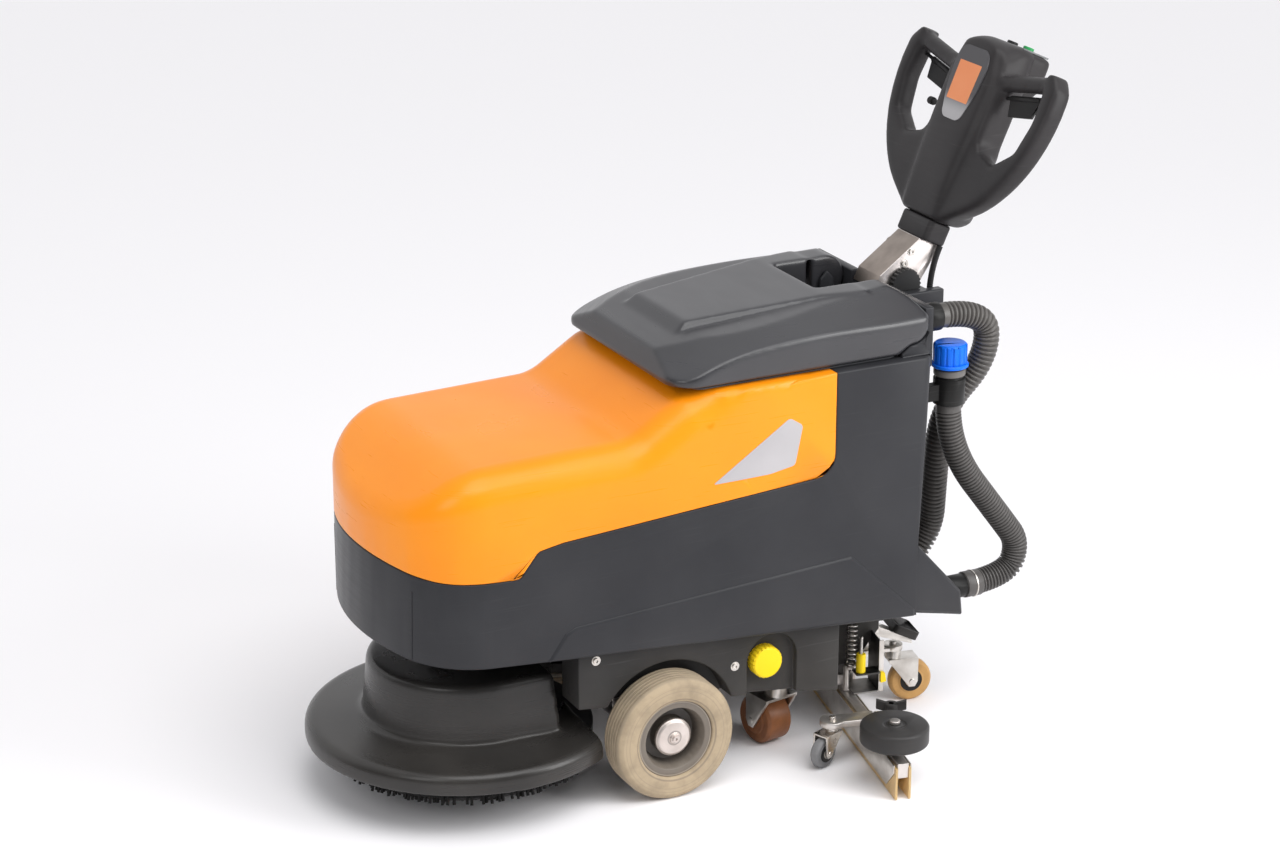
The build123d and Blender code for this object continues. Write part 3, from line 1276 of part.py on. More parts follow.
def castor_wheel(radius, width, trail, axle):
    """Wheel of a castor, turned about its axle."""
    edge = radius * 0.12
    outline = polygon(
        (axle + RUN_GAP, -width / 2),
        (axle + RUN_GAP, width / 2),
        (radius * 0.55, width / 2),
        (radius * 0.6, width / 2 - 1.5),
        (radius * 0.72, width / 2 - 1.5),
        (radius - edge, width / 2 - 1),
        (radius, width / 2 - edge - 1),
        (radius, -width / 2 + edge + 1),
        (radius - edge, -width / 2 + 1),
        (radius * 0.72, -width / 2 + 1.5),
        (radius * 0.6, -width / 2 + 1.5),
        (radius * 0.55, -width / 2),
    )
    return turned_on_axle(outline, -trail, radius)


def chassis_castor_fork():
    """Left swivel fork under the chassis."""
    fork = castor_fork(CASTOR_RADIUS, CASTOR_WIDTH, CASTOR_TRAIL, 6, CASTOR_BOSS_Z - SEAM_GAP,
                       CASTOR_BOSS_Z + 30, 8)
    return Pos(*castor_kingpin(), 0) * Rot(0, 0, CASTOR_TURN) * fork


def chassis_castor_roller():
    """Left roller under the chassis."""
    wheel = castor_wheel(CASTOR_RADIUS, CASTOR_WIDTH, CASTOR_TRAIL, 6)
    return Pos(*castor_kingpin(), 0) * Rot(0, 0, CASTOR_TURN) * wheel


# Brush deck

def arm_end(z):
    """Deck end of a lift arm whose chassis pivot is at height z."""
    turn = math.radians(ARM_RAISED_ANGLE)
    return (ARM_CHASSIS_X + ARM_LENGTH * math.cos(turn), z + ARM_LENGTH * math.sin(turn))


def lift_arm(z):
    """Pair of parallel links with a cross tube."""
    end = arm_end(z)
    link = Pos(ARM_LENGTH / 2, 0) * SlotCenterToCenter(ARM_LENGTH, ARM_HEIGHT)
    link -= Circle(ARM_PIN_RADIUS + RUN_GAP)
    link -= Pos(ARM_LENGTH, 0) * Circle(ARM_PIN_RADIUS + RUN_GAP)
    link = Pos(ARM_CHASSIS_X, z) * Rot(0, 0, ARM_RAISED_ANGLE) * link
    arm = across(link, ARM_INNER, ARM_INNER + ARM_WIDTH)
    arm += mirrored(arm)
    middle = ((ARM_CHASSIS_X + end[0]) / 2, (z + end[1]) / 2)
    return arm + bar((middle[0], -ARM_INNER - 1, middle[1]), (middle[0], ARM_INNER + 1, middle[1]), 6)


def dome_plan(inset):
    """Plan of the deck's dome: round in front, straight to the rear wall."""
    round_front = Pos(DECK_X, 0) * Circle(DOME_FOOT_RADIUS - inset)
    length = DECK_X - DOME_REAR - inset
    square_rear = Pos(DECK_X - length / 2, 0) * Rectangle(length, 2 * (DOME_FOOT_RADIUS - inset))
    return round_front + square_rear - Pos(DOME_REAR + inset - 100, 0) * Rectangle(200, 500)


def deck_shroud():
    """Pressed deck over the brush: dome, sloping brim and rear lugs for the lift arms."""
    foot = DOME_FOOT - 14
    lean = math.degrees(math.atan((DOME_FOOT_RADIUS - DOME_RADIUS) / (DOME_TOP - foot)))
    dome = extrude(Pos(0, 0, foot) * dome_plan(0), amount=DOME_TOP - foot, taper=lean)
    dome = fillet(dome.faces().sort_by(Axis.Z)[-1].edges(), 9)
    inside = extrude(Pos(0, 0, foot) * dome_plan(DECK_WALL), amount=DOME_TOP - foot - DECK_WALL, taper=lean)
    brim = turned([
        (DOME_RADIUS, DOME_FOOT + 4),
        (DOME_FOOT_RADIUS + 5, DOME_FOOT - 2),
        (BRIM_RADIUS, BRIM_TOP),
        (BRIM_RADIUS, BRIM_FOOT),
        (BRIM_RADIUS - DECK_WALL, BRIM_FOOT),
        (BRIM_RADIUS - DECK_WALL, BRIM_TOP - DECK_WALL),
        (DOME_FOOT_RADIUS + 4, DOME_FOOT - 2 - DECK_WALL),
        (DOME_RADIUS, DOME_FOOT - 1),
    ])
    for reach, level, roll in ((BRIM_RADIUS, BRIM_TOP, BRIM_ROLL),
                               (BRIM_RADIUS - DECK_WALL, BRIM_TOP - DECK_WALL, BRIM_ROLL - DECK_WALL)):
        rolled = brim.edges().filter_by(
            lambda e: e.geom_type == GeomType.CIRCLE
            and abs(e.radius - reach) < 0.1
            and abs(e.arc_center.Z - level) < 0.1
        )
        brim = fillet(rolled, roll)
    brim = Pos(DECK_X, 0, 0) * brim
    brim -= block(DECK_X - 2 * BRIM_RADIUS, DECK_REAR, -BRIM_RADIUS, BRIM_RADIUS, 0, DOME_TOP)
    deck = dome + brim
    deck -= inside
    deck -= upright(DECK_X, 0, DOME_TOP - 20, DOME_TOP + 20, BRUSH_MOTOR_RADIUS + RUN_GAP)
    lug_y = ARM_INNER + ARM_WIDTH + LUG_GAP
    low = arm_end(LOWER_ARM_Z)
    high = arm_end(LOWER_ARM_Z + ARM_SPREAD)
    lug = block(low[0] - LUG_RADIUS, DOME_REAR + 5, lug_y, lug_y + LUG_WIDTH, DOME_FOOT - 2, high[1])
    lug += bar((high[0], lug_y, high[1]), (high[0], lug_y + LUG_WIDTH, high[1]), LUG_RADIUS)
    for place in (low, high):
        lug += bar((place[0], ARM_INNER + 1, place[1]), (place[0], lug_y + 1, place[1]), ARM_PIN_RADIUS)
    deck += lug
    return deck + mirrored(lug)


def brush_motor():
    """Brush motor set through the dome, its shaft in the brush hub."""
    motor = turned([
        (0, BRUSH_DISC_TOP + 4),
        (BRUSH_HUB_RADIUS * 0.22, BRUSH_DISC_TOP + 4),
        (BRUSH_HUB_RADIUS * 0.22, BRUSH_HUB_TOP + 10),
        (BRUSH_MOTOR_RADIUS, BRUSH_HUB_TOP + 10),
        (BRUSH_MOTOR_RADIUS, DOME_TOP),
        (BRUSH_MOTOR_RADIUS + 16, DOME_TOP),
        (BRUSH_MOTOR_RADIUS + 16, DOME_TOP + 5),
        (BRUSH_MOTOR_RADIUS, DOME_TOP + 5),
        (BRUSH_MOTOR_RADIUS, DOME_TOP + BRUSH_MOTOR_RISE - 6),
        (BRUSH_MOTOR_RADIUS - 8, DOME_TOP + BRUSH_MOTOR_RISE),
        (0, DOME_TOP + BRUSH_MOTOR_RISE),
    ])
    return Pos(DECK_X, 0, 0) * motor


def disc_brush():
    """Disc with its hub and rings of three-sided bristles that lean outwards."""
    length = BRUSH_DISC_FOOT - BRUSH_TIP
    slice_top = BRUSH_DISC_FOOT + 4
    strands = []
    for ring in range(BRISTLE_RINGS):
        share = ring / (BRISTLE_RINGS - 1)
        radius = BRUSH_RADIUS * (0.42 + 0.54 * share)
        lean = (BRUSH_SPREAD - BRUSH_RADIUS * 0.96) * share ** 3
        count = int(BRISTLES_IN_RING * (0.65 + 0.7 * share))
        for i in range(count):
            angle = 360 * (i + 0.5 * (ring % 2)) / count
            tuft = Pos(radius, 0) * RegularPolygon(BRISTLE_RADIUS, 3)
            strand = extrude(tuft, amount=length + 1, dir=(lean / length, 0, -1))
            strands.append(Pos(0, 0, BRUSH_DISC_FOOT + 1) * Rot(0, 0, angle) * strand)
    backing = upright(0, 0, BRUSH_DISC_FOOT, slice_top, BRUSH_RADIUS)
    brush = backing.fuse(*strands)
    bore = BRUSH_HUB_RADIUS * 0.22 + RUN_GAP
    body = turned([
        (0, slice_top),
        (BRUSH_RADIUS, slice_top),
        (BRUSH_RADIUS, BRUSH_DISC_TOP - 4),
        (BRUSH_RADIUS - 8, BRUSH_DISC_TOP),
        (BRUSH_HUB_RADIUS + 14, BRUSH_DISC_TOP),
        (BRUSH_HUB_RADIUS, BRUSH_DISC_TOP + 14),
        (BRUSH_HUB_RADIUS, BRUSH_HUB_TOP),
        (bore, BRUSH_HUB_TOP),
        (bore, BRUSH_DISC_TOP + 4 - SWING_GAP),
        (0, BRUSH_DISC_TOP + 4 - SWING_GAP),
    ])
    return Pos(DECK_X, 0, 0) * (body + brush)


# Squeegee carriage, drawn straight and swung

def hose_joint_direction():
    """Straight run of the pick-up hose, from its joint towards the nozzle."""
    corner = Vector(SQUEEGEE_X - 4, NOZZLE_Y, PICKUP_CORNER_Z)
    return (corner - Vector(*HOSE_JOINT)).normalized()


def swing_arm():
    """Arm on the swing pin: beam, lift lugs, a side plate and the hose clip."""
    foot = SWING_ARM_TOP - SWING_ARM_DEPTH
    arm = upright(SWING_X, 0, foot, SWING_BOSS_Z + 42, SWING_PIN_RADIUS)
    arm += upright(SWING_X, 0, foot, SWING_BOSS_Z - SEAM_GAP, SWING_PIN_RADIUS + 14)
    arm += block(LIFT_X + 10, SWING_X, -SWING_ARM_HALF, SWING_ARM_HALF, foot, SWING_ARM_TOP)
    arm += block(LIFT_X + 12, LIFT_X + 28, -28, POST_Y + POST_PLATE / 2, foot, SWING_ARM_TOP)
    for y in (-28, 20):
        lug = block(LIFT_X, LIFT_X + 20, y, y + 8, LIFT_Z - 10, LIFT_Z + 10)
        lug += bar((LIFT_X, y, LIFT_Z), (LIFT_X, y + 8, LIFT_Z), 10)
        arm += lug
    arm += bar((LIFT_X, -39, LIFT_Z), (LIFT_X, -21, LIFT_Z), LIFT_PIN_RADIUS)
    arm += bar((LIFT_X, 21, LIFT_Z), (LIFT_X, 39, LIFT_Z), LIFT_PIN_RADIUS)
    post = polygon(
        (LIFT_X + 28, foot),
        (LIFT_X + 28, SWING_ARM_TOP),
        (LIFT_X - 18, SWING_ARM_TOP),
        (LIFT_X - 46, POST_TOP - 40),
        (LIFT_X - 66, POST_TOP),
        (POST_REAR, POST_TOP),
        (POST_REAR, POST_TOP - 30),
        (POST_REAR + 40, SWING_ARM_TOP),
        (LIFT_X - 26, SWING_ARM_TOP - 4),
        (LIFT_X - 12, foot),
    )
    arm += across(post, POST_Y - POST_PLATE / 2, POST_Y + POST_PLATE / 2)
    arm += block(POST_REAR, LIFT_X - 66, POST_Y - POST_PLATE / 2, SPRING_Y + SPRING_RADIUS + 3,
                 POST_TOP - 6, POST_TOP)
    joint = Vector(*HOSE_JOINT)
    along = hose_joint_direction()
    ring = Plane(origin=joint - along * 9, z_dir=along)
    clip = extrude(ring * Circle(HOSE_CREST + 5), amount=18)
    anchor = Vector(POST_REAR + 8, POST_Y, POST_TOP - 10)
    radial = anchor - joint
    radial = (radial - along * radial.dot(along)).normalized()
    clip += bar(tuple(anchor), tuple(joint + radial * (HOSE_CREST + 3)), 5)
    clip -= extrude(ring.offset(-40) * Circle(HOSE_CREST + 1), amount=120)
    return swung(arm + clip)


def squeegee_body():
    """Squeegee bar with lift lugs, castor arms, bumper bolts, knob studs and nozzle."""
    x0 = SQUEEGEE_X - SQUEEGEE_BAR_HALF
    x1 = SQUEEGEE_X + SQUEEGEE_BAR_HALF
    body = block(x0, x1, -SQUEEGEE_HALF + 2, SQUEEGEE_HALF - 2, SQUEEGEE_BAR_FOOT, SQUEEGEE_BAR_TOP)
    for y in (-38, 30):
        lug = across(
            polygon(
                (LIFT_X, LIFT_Z + 10),
                (LIFT_X - 30, LIFT_Z - 2),
                (x0 + 4, SQUEEGEE_BAR_TOP),
                (x0 + 4, SQUEEGEE_BAR_FOOT + 4),
                (x1 + 8, SQUEEGEE_BAR_FOOT + 16),
                (LIFT_X, LIFT_Z - 10),
            ),
            y,
            y + 8,
        )
        lug += bar((LIFT_X, y, LIFT_Z), (LIFT_X, y + 8, LIFT_Z), 10)
        lug -= bar((LIFT_X, y - 1, LIFT_Z), (LIFT_X, y + 9, LIFT_Z), LIFT_PIN_RADIUS + RUN_GAP)
        lug -= block(x1, x1 + 20, y - 1, y + 9, 0, BLADE_TOP + RUN_GAP)
        body += lug
    head = SMALL_CASTOR_HEAD - 10
    for sign in (1, -1):
        y = sign * SMALL_CASTOR_Y
        y0 = y - SMALL_CASTOR_ARM
        y1 = y + SMALL_CASTOR_ARM
        body += block(x0 + 4, x1, y0, y1, SQUEEGEE_BAR_TOP - 2, SMALL_CASTOR_HEAD)
        body += block(x1 - 1, SMALL_CASTOR_X, y0, y1, head, SMALL_CASTOR_HEAD)
        body += upright(SMALL_CASTOR_X, y, head, SMALL_CASTOR_HEAD, SMALL_CASTOR_BOSS)
        body -= upright(SMALL_CASTOR_X, y, head - 5, SMALL_CASTOR_HEAD + 5, 5 + RUN_GAP)
        bolt = sign * BUMPER_Y
        body += upright(BUMPER_X, bolt, SQUEEGEE_BAR_TOP - 2, BUMPER_TOP + 5, BUMPER_BOLT)
        body += upright(BUMPER_X, bolt, SQUEEGEE_BAR_TOP - 2, BUMPER_FOOT - SEAM_GAP, BUMPER_BOLT + 5)
        body += upright(BUMPER_X, bolt, BUMPER_TOP + SEAM_GAP, BUMPER_TOP + 6, BUMPER_BOLT + 3.5)
        stud = sign * KNOB_Y
        body += block(KNOB_X - 13, x0 + 6, stud - 13, stud + 13, BLADE_TOP + RUN_GAP, KNOB_FOOT - SEAM_GAP)
        body += upright(KNOB_X, stud, KNOB_FOOT - 8, KNOB_TOP - 4, 4)
    body += upright(SQUEEGEE_X - 4, NOZZLE_Y, BLADE_TOP + RUN_GAP, NOZZLE_TOP, NOZZLE_RADIUS)
    body -= upright(SQUEEGEE_X - 4, NOZZLE_Y, SQUEEGEE_BAR_TOP + 2, NOZZLE_TOP + 5, HOSE_BORE - 4)
    body -= upright(SQUEEGEE_X, NOZZLE_Y, SQUEEGEE_BAR_FOOT - 5, SQUEEGEE_BAR_TOP + 3, SQUEEGEE_BAR_HALF - 4)
    body += upright(SPRING_X + 8, SPRING_Y, SQUEEGEE_BAR_TOP - 2, SPRING_FOOT, 5)
    body += upright(SPRING_X, SPRING_Y, SPRING_FOOT - 6, SPRING_FOOT, SPRING_RADIUS + 3)
    return swung(body)


def squeegee_blades():
    """Front and rear wiping blades."""
    front = SQUEEGEE_X + SQUEEGEE_BAR_HALF
    rear = SQUEEGEE_X - SQUEEGEE_BAR_HALF
    blades = [
        block(front, front + BLADE_THICKNESS, -SQUEEGEE_HALF, SQUEEGEE_HALF, 1, BLADE_TOP),
        block(rear - BLADE_THICKNESS, rear, -SQUEEGEE_HALF, SQUEEGEE_HALF, 1, BLADE_TOP),
    ]
    return Compound([swung(blade) for blade in blades])


def blade_clamps():
    """Steel strips that hold the blades to the bar."""
    front = SQUEEGEE_X + SQUEEGEE_BAR_HALF + BLADE_THICKNESS
    rear = SQUEEGEE_X - SQUEEGEE_BAR_HALF - BLADE_THICKNESS
    half = SQUEEGEE_HALF - 5
    outline = polygon(
        (-half, BLADE_TOP - 1),
        (half, BLADE_TOP - 1),
        (half, CLAMP_FOOT + CLAMP_END_CUT),
        (half - CLAMP_END_CUT, CLAMP_FOOT),
        (CLAMP_END_CUT - half, CLAMP_FOOT),
        (-half, CLAMP_FOOT + CLAMP_END_CUT),
    )
    strips = []
    for x in (front, rear - CLAMP_THICKNESS):
        strips.append(extrude(Plane(origin=(x, 0, 0), x_dir=(0, 1, 0), z_dir=(1, 0, 0)) * outline,
                              amount=CLAMP_THICKNESS))
    return Compound([swung(strip) for strip in strips])


def rear_bracket():
    """Plate behind the bar that carries the rear castor and the pedal."""
    back = SQUEEGEE_X - SQUEEGEE_BAR_HALF - BLADE_THICKNESS - CLAMP_THICKNESS
    y1 = BRACKET_Y + BRACKET_PLATE
    boss = REAR_CASTOR_HEAD + SEAM_GAP
    bracket = block(back - 7, back, -20, y1 + 20, CLAMP_FOOT + 4, BLADE_TOP - 1)
    plate = polygon(
        (back - 7, CLAMP_FOOT + 4),
        (back, CLAMP_FOOT + 4),
        (back, BLADE_TOP - 1),
        (back - 4, BRACKET_TOP),
        (PEDAL_PIVOT_X + 9, PEDAL_PIVOT_Z + 9),
        (PEDAL_PIVOT_X - 9, PEDAL_PIVOT_Z + 9),
        (BRACKET_REAR, BRACKET_TOP - 12),
        (BRACKET_REAR, boss),
        (back - 7, boss),
    )
    bracket += across(plate, BRACKET_Y, y1)
    bracket += block(REAR_CASTOR_X, back - 12, -16, y1 + 14, boss, boss + 6)
    bracket += upright(REAR_CASTOR_X, 0, boss, boss + 9, 16)
    bracket -= upright(REAR_CASTOR_X, 0, boss - 5, boss + 20, 6 + RUN_GAP)
    bracket += bar((PEDAL_PIVOT_X, BRACKET_Y, PEDAL_PIVOT_Z), (PEDAL_PIVOT_X, y1 + 27, PEDAL_PIVOT_Z), 5)
    return swung(bracket)


def pedal_arm():
    """Pedal lever on its pin behind the bracket plate."""
    y0 = BRACKET_Y + BRACKET_PLATE + 1.5
    end_x = PEDAL_PIVOT_X - PEDAL_LENGTH
    end_z = PEDAL_PIVOT_Z - PEDAL_DROP
    arm = across(
        polygon(
            (PEDAL_PIVOT_X, PEDAL_PIVOT_Z + 9),
            (end_x, end_z + 5),
            (end_x, end_z - 3),
            (PEDAL_PIVOT_X, PEDAL_PIVOT_Z - 9),
        ),
        y0,
        y0 + 24,
    )
    arm += bar((PEDAL_PIVOT_X, y0, PEDAL_PIVOT_Z), (PEDAL_PIVOT_X, y0 + 24, PEDAL_PIVOT_Z), 9)
    arm -= bar((PEDAL_PIVOT_X, y0 - 1, PEDAL_PIVOT_Z), (PEDAL_PIVOT_X, y0 + 25, PEDAL_PIVOT_Z), 5 + RUN_GAP)
    return swung(arm)


def pedal_pad():
    """Ribbed foot pad on the pedal's end."""
    lean = math.degrees(math.atan2(PEDAL_DROP + 4, PEDAL_LENGTH))
    pad = Pos(0, 0, PEDAL_PAD_HEIGHT / 2) * Box(PEDAL_PAD_LENGTH, PEDAL_PAD_WIDTH, PEDAL_PAD_HEIGHT)
    pad = fillet(pad.edges().filter_by(Axis.Z), 8)
    for i in range(PEDAL_RIBS):
        x = PEDAL_PAD_LENGTH * ((i + 0.5) / PEDAL_RIBS - 0.5)
        pad -= Pos(x, 0, PEDAL_PAD_HEIGHT) * Box(PEDAL_PAD_LENGTH / PEDAL_RIBS / 2, PEDAL_PAD_WIDTH - 8, 4)
    end = (PEDAL_PIVOT_X - PEDAL_LENGTH, 0, PEDAL_PIVOT_Z - PEDAL_DROP + 5)
    return swung(Pos(*end) * Rot(0, -lean, 0) * Pos(PEDAL_PAD_LENGTH / 2 - 8, 0, 0) * pad)


def rear_castor_fork():
    """Swivel fork behind the squeegee."""
    fork = castor_fork(REAR_CASTOR_RADIUS, REAR_CASTOR_WIDTH, REAR_CASTOR_TRAIL, 5, REAR_CASTOR_HEAD,
                       REAR_CASTOR_HEAD + 14, 6)
    return swung(Pos(REAR_CASTOR_X, 0, 0) * fork)


def rear_castor_wheel():
    """Wheel behind the squeegee."""
    wheel = castor_wheel(REAR_CASTOR_RADIUS, REAR_CASTOR_WIDTH, REAR_CASTOR_TRAIL, 5)
    return swung(Pos(REAR_CASTOR_X, 0, 0) * wheel)


def bumper_roller(sign):
    """Guide roller lying flat at the squeegee's end."""
    roller = turned([
        (BUMPER_BOLT + RUN_GAP, BUMPER_FOOT),
        (BUMPER_RADIUS - 3, BUMPER_FOOT),
        (BUMPER_RADIUS, BUMPER_FOOT + 3),
        (BUMPER_RADIUS, BUMPER_TOP - 4),
        (BUMPER_RADIUS - 1.2, BUMPER_TOP - 1.2),
        (BUMPER_RADIUS - 4, BUMPER_TOP),
        (BUMPER_BOLT + 14, BUMPER_TOP),
        (BUMPER_BOLT + 12, BUMPER_TOP - 1.5),
        (BUMPER_BOLT + 7, BUMPER_TOP - 1.5),
        (BUMPER_BOLT + 6, BUMPER_TOP),
        (BUMPER_BOLT + RUN_GAP, BUMPER_TOP),
    ])
    return swung(Pos(BUMPER_X, sign * BUMPER_Y, 0) * roller)


def wing_knob(sign):
    """Two-winged knob on its stud."""
    knob = upright(0, 0, KNOB_FOOT, KNOB_TOP, 11)
    for wing in (1, -1):
        outline = polygon(
            (wing * 4, KNOB_FOOT + 3),
            (wing * KNOB_SPAN, KNOB_FOOT + 8),
            (wing * KNOB_SPAN, KNOB_TOP + 6),
            (wing * 4, KNOB_TOP),
        )
        knob += across(outline, -4, 4)
    knob -= upright(0, 0, KNOB_FOOT - 1, KNOB_TOP - 3, 4 + RUN_GAP)
    return swung(Pos(KNOB_X, sign * KNOB_Y, 0) * Rot(0, 0, KNOB_TURN) * knob)


def small_castor_place(sign, shape):
    """Turn and place a small castor on the squeegee's front."""
    return swung(Pos(SMALL_CASTOR_X, sign * SMALL_CASTOR_Y, 0) * Rot(0, 0, SMALL_CASTOR_TURN) * shape)


def small_castor_fork(sign):
    """Small swivel fork on the squeegee."""
    head = SMALL_CASTOR_HEAD - 10 - SEAM_GAP
    fork = castor_fork(SMALL_CASTOR_RADIUS, SMALL_CASTOR_WIDTH, SMALL_CASTOR_TRAIL, 4, head,
                       SMALL_CASTOR_HEAD + 5, 5)
    return small_castor_place(sign, fork)


def small_castor_wheel(sign):
    """Small wheel on the squeegee."""
    wheel = castor_wheel(SMALL_CASTOR_RADIUS, SMALL_CASTOR_WIDTH, SMALL_CASTOR_TRAIL, 4)
    return small_castor_place(sign, wheel)


# Hoses, spring and cable

def bend_radii(points):
    """Largest bend at each corner that leaves a plain straight end on the first and last run."""
    radii = []
    last = len(points) - 2
    for i in range(1, len(points) - 1):
        before = Vector(*points[i]) - Vector(*points[i - 1])
        after = Vector(*points[i + 1]) - Vector(*points[i])
        room = min(
            before.length - 2 * HOSE_CREST if i == 1 else before.length / 2,
            after.length - 2 * HOSE_CREST if i == last else after.length / 2,
        )
        turn = math.radians(before.get_angle(after))
        radii.append(min(0.96 * room / math.tan(turn / 2), 220.0))
    return radii


def ribbed_hose(points):
    """Corrugated hose with plain ends and a clear bore along a filleted route."""
    radii = bend_radii(points)
    path = FilletPolyline(*points, radius=radii)
    plain = 2 * HOSE_CREST
    count = int((path.length - 2 * plain) / HOSE_RIB_PITCH)
    pitch = (path.length - 2 * plain) / count
    stations = [(0.0, HOSE_VALLEY)]
    for i in range(count):
        start = plain + i * pitch
        for share, radius in ((0.1, HOSE_VALLEY), (0.3, HOSE_CREST), (0.7, HOSE_CREST), (0.9, HOSE_VALLEY)):
            stations.append((start + share * pitch, radius))
    stations.append((path.length, HOSE_VALLEY))
    circles = []
    for distance, radius in stations:
        tangent = path % (distance / path.length)
        side = Vector(0, 1, 0)
        side = side - tangent * side.dot(tangent)
        place = Plane(origin=path @ (distance / path.length), x_dir=side, z_dir=tangent)
        circles.append(place * Circle(radius))
    tube = loft(circles, ruled=True)
    bore = sweep(Plane(origin=path @ 0, z_dir=path % 0) * Circle(HOSE_BORE), path=path)
    print("hose", [round(r) for r in radii], "length", round(path.length, 1), "ribs", count)
    return tube - bore


def suction_points():
    """Route of the suction hose from the console port to its joint on the swing arm."""
    joint = Vector(*swung_point(HOSE_JOINT))
    back = Vector(*HOSE_JOINT) - hose_joint_direction() * 80
    return SUCTION_ROUTE + [swung_point(tuple(back)), tuple(joint)]


def pickup_points():
    """Route of the pick-up hose from that joint down to the nozzle."""
    route = [
        HOSE_JOINT,
        (SQUEEGEE_X - 4, NOZZLE_Y, PICKUP_CORNER_Z),
        (SQUEEGEE_X - 4, NOZZLE_Y, NOZZLE_TOP),
    ]
    return [swung_point(point) for point in route]


def hose_fittings():
    """Port cuff, drain collar in its clip, and the drain stub on the left foot."""
    port = SUCTION_ROUTE[0]
    cuff = bar((SHELF_REAR, port[1], port[2]), port, HOSE_CREST + 2)
    cuff -= bar((SHELF_REAR - 1, port[1], port[2]), (port[0] - 5, port[1], port[2]), HOSE_BORE)
    drain = DRAIN_ROUTE[0]
    collar = upright(drain[0], drain[1], drain[2], DRAIN_CAP_FOOT, HOSE_CREST + 1.5)
    collar += upright(drain[0], drain[1], CLIP_FOOT, CLIP_TOP, CLIP_RADIUS)
    lean = (TOWER_REAR_FOOT - TOWER_REAR_TOP) / (TOWER_TOP - FOOT_TOP)
    arm = polygon(
        (drain[0], CLIP_FOOT + 8),
        (drain[0], CLIP_TOP - 8),
        (TOWER_REAR_TOP + lean * (TOWER_TOP - CLIP_TOP + 8), CLIP_TOP - 8),
        (TOWER_REAR_TOP + lean * (TOWER_TOP - CLIP_FOOT - 8), CLIP_FOOT + 8),
    )
    collar += across(arm, drain[1] - 9, drain[1] + 9)
    collar -= upright(drain[0], drain[1], drain[2] - 1, DRAIN_CAP_FOOT + 1, HOSE_BORE)
    stub_end = DRAIN_ROUTE[-1]
    stub = bar((FOOT_REAR + 12, stub_end[1], stub_end[2]), stub_end, CUFF_RADIUS)
    stub -= bar((FOOT_REAR + 5, stub_end[1], stub_end[2]), (stub_end[0] - 5, stub_end[1], stub_end[2]), HOSE_BORE)
    behind_foot = polygon(
        (FOOT_REAR + 5, FOOT_LIP_TOP),
        (FOOT_REAR, FOOT_LIP_FOOT),
        (FOOT_REAR + 60, FOOT_LIP_FOOT),
        (FOOT_REAR + 60, FOOT_LIP_TOP + 90),
    )
    stub -= across(behind_foot, FOOT_INNER_Y, FOOT_OUTER_Y)
    return Compound([cuff, collar, stub])


def drain_cap():
    """Fluted cap with a plug on top of the drain collar."""
    drain = DRAIN_ROUTE[0]
    foot = DRAIN_CAP_FOOT + SEAM_GAP
    cap = upright(drain[0], drain[1], foot, DRAIN_CAP_TOP, DRAIN_CAP_RADIUS)
    cap = chamfer(cap.faces().sort_by(Axis.Z)[-1].edges(), 3)
    for i in range(16):
        angle = 2 * math.pi * i / 16
        x = drain[0] + (DRAIN_CAP_RADIUS + 1) * math.cos(angle)
        y = drain[1] + (DRAIN_CAP_RADIUS + 1) * math.sin(angle)
        cap -= upright(x, y, foot - 1, DRAIN_CAP_TOP + 1, 2.5)
    return cap + upright(drain[0], drain[1], foot - 14, foot + 1, HOSE_BORE - RUN_GAP - 0.5)


def biarc(p0, t0, p1, t1):
    """Two tangent arcs from p0 along t0 to p1 along t1."""
    chord = p1 - p0
    a = 2 * (1 - t0.dot(t1))
    b = 2 * chord.dot(t0 + t1)
    reach = (-b + math.sqrt(b * b + 4 * a * chord.dot(chord))) / (2 * a)
    c0 = p0 + t0 * reach
    c1 = p1 - t1 * reach
    middle = (c0 + c1) * 0.5
    first = Edge.make_tangent_arc(p0, t0, middle)
    second = Edge.make_tangent_arc(middle, (c1 - c0).normalized(), p1)
    return [first, second]


def lift_spring():
    """Coil spring with upright ends, one unbroken wire of tangent arcs."""
    straight = 2 * SPRING_WIRE
    lead = SPRING_RADIUS * 1.1
    foot = SPRING_FOOT + straight + lead
    top = SPRING_TOP + 4 - straight - lead
    pitch = (top - foot) / SPRING_TURNS
    slope = math.atan(pitch / (2 * math.pi * SPRING_RADIUS))
    knots = []
    for i in range(2 * SPRING_TURNS + 1):
        sign = 1 if i % 2 else -1
        place = Vector(sign * SPRING_RADIUS, 0, foot + pitch * i / 2)
        knots.append((place, Vector(0, sign * math.cos(slope), math.sin(slope))))
    start = Vector(SPRING_RADIUS, 0, SPRING_FOOT + straight)
    finish = Vector(SPRING_RADIUS, 0, SPRING_TOP + 4 - straight)
    chain = [(start, Vector(0, 0, 1))] + knots + [(finish, Vector(0, 0, 1))]
    edges = [Edge.make_line(start - Vector(0, 0, straight), start)]
    for (p0, t0), (p1, t1) in zip(chain[:-1], chain[1:]):
        edges += biarc(p0, t0, p1, t1)
    edges.append(Edge.make_line(finish, finish + Vector(0, 0, straight)))
    path = Wire(edges)
    samples = [path @ (i / 600) for i in range(601)]
    step = path.length / 600
    apart = int(4 * SPRING_WIRE / step) + 2
    least = min(
        (samples[i] - samples[j]).length - 2 * SPRING_WIRE
        for i in range(len(samples))
        for j in range(i + apart, len(samples), 2)
    )
    print("spring turns", SPRING_TURNS, "least self gap", round(least, 2))
    wire = sweep(Plane(origin=path @ 0, z_dir=path % 0) * Circle(SPRING_WIRE), path=path)
    return swung(Pos(SPRING_X, SPRING_Y, 0) * wire)


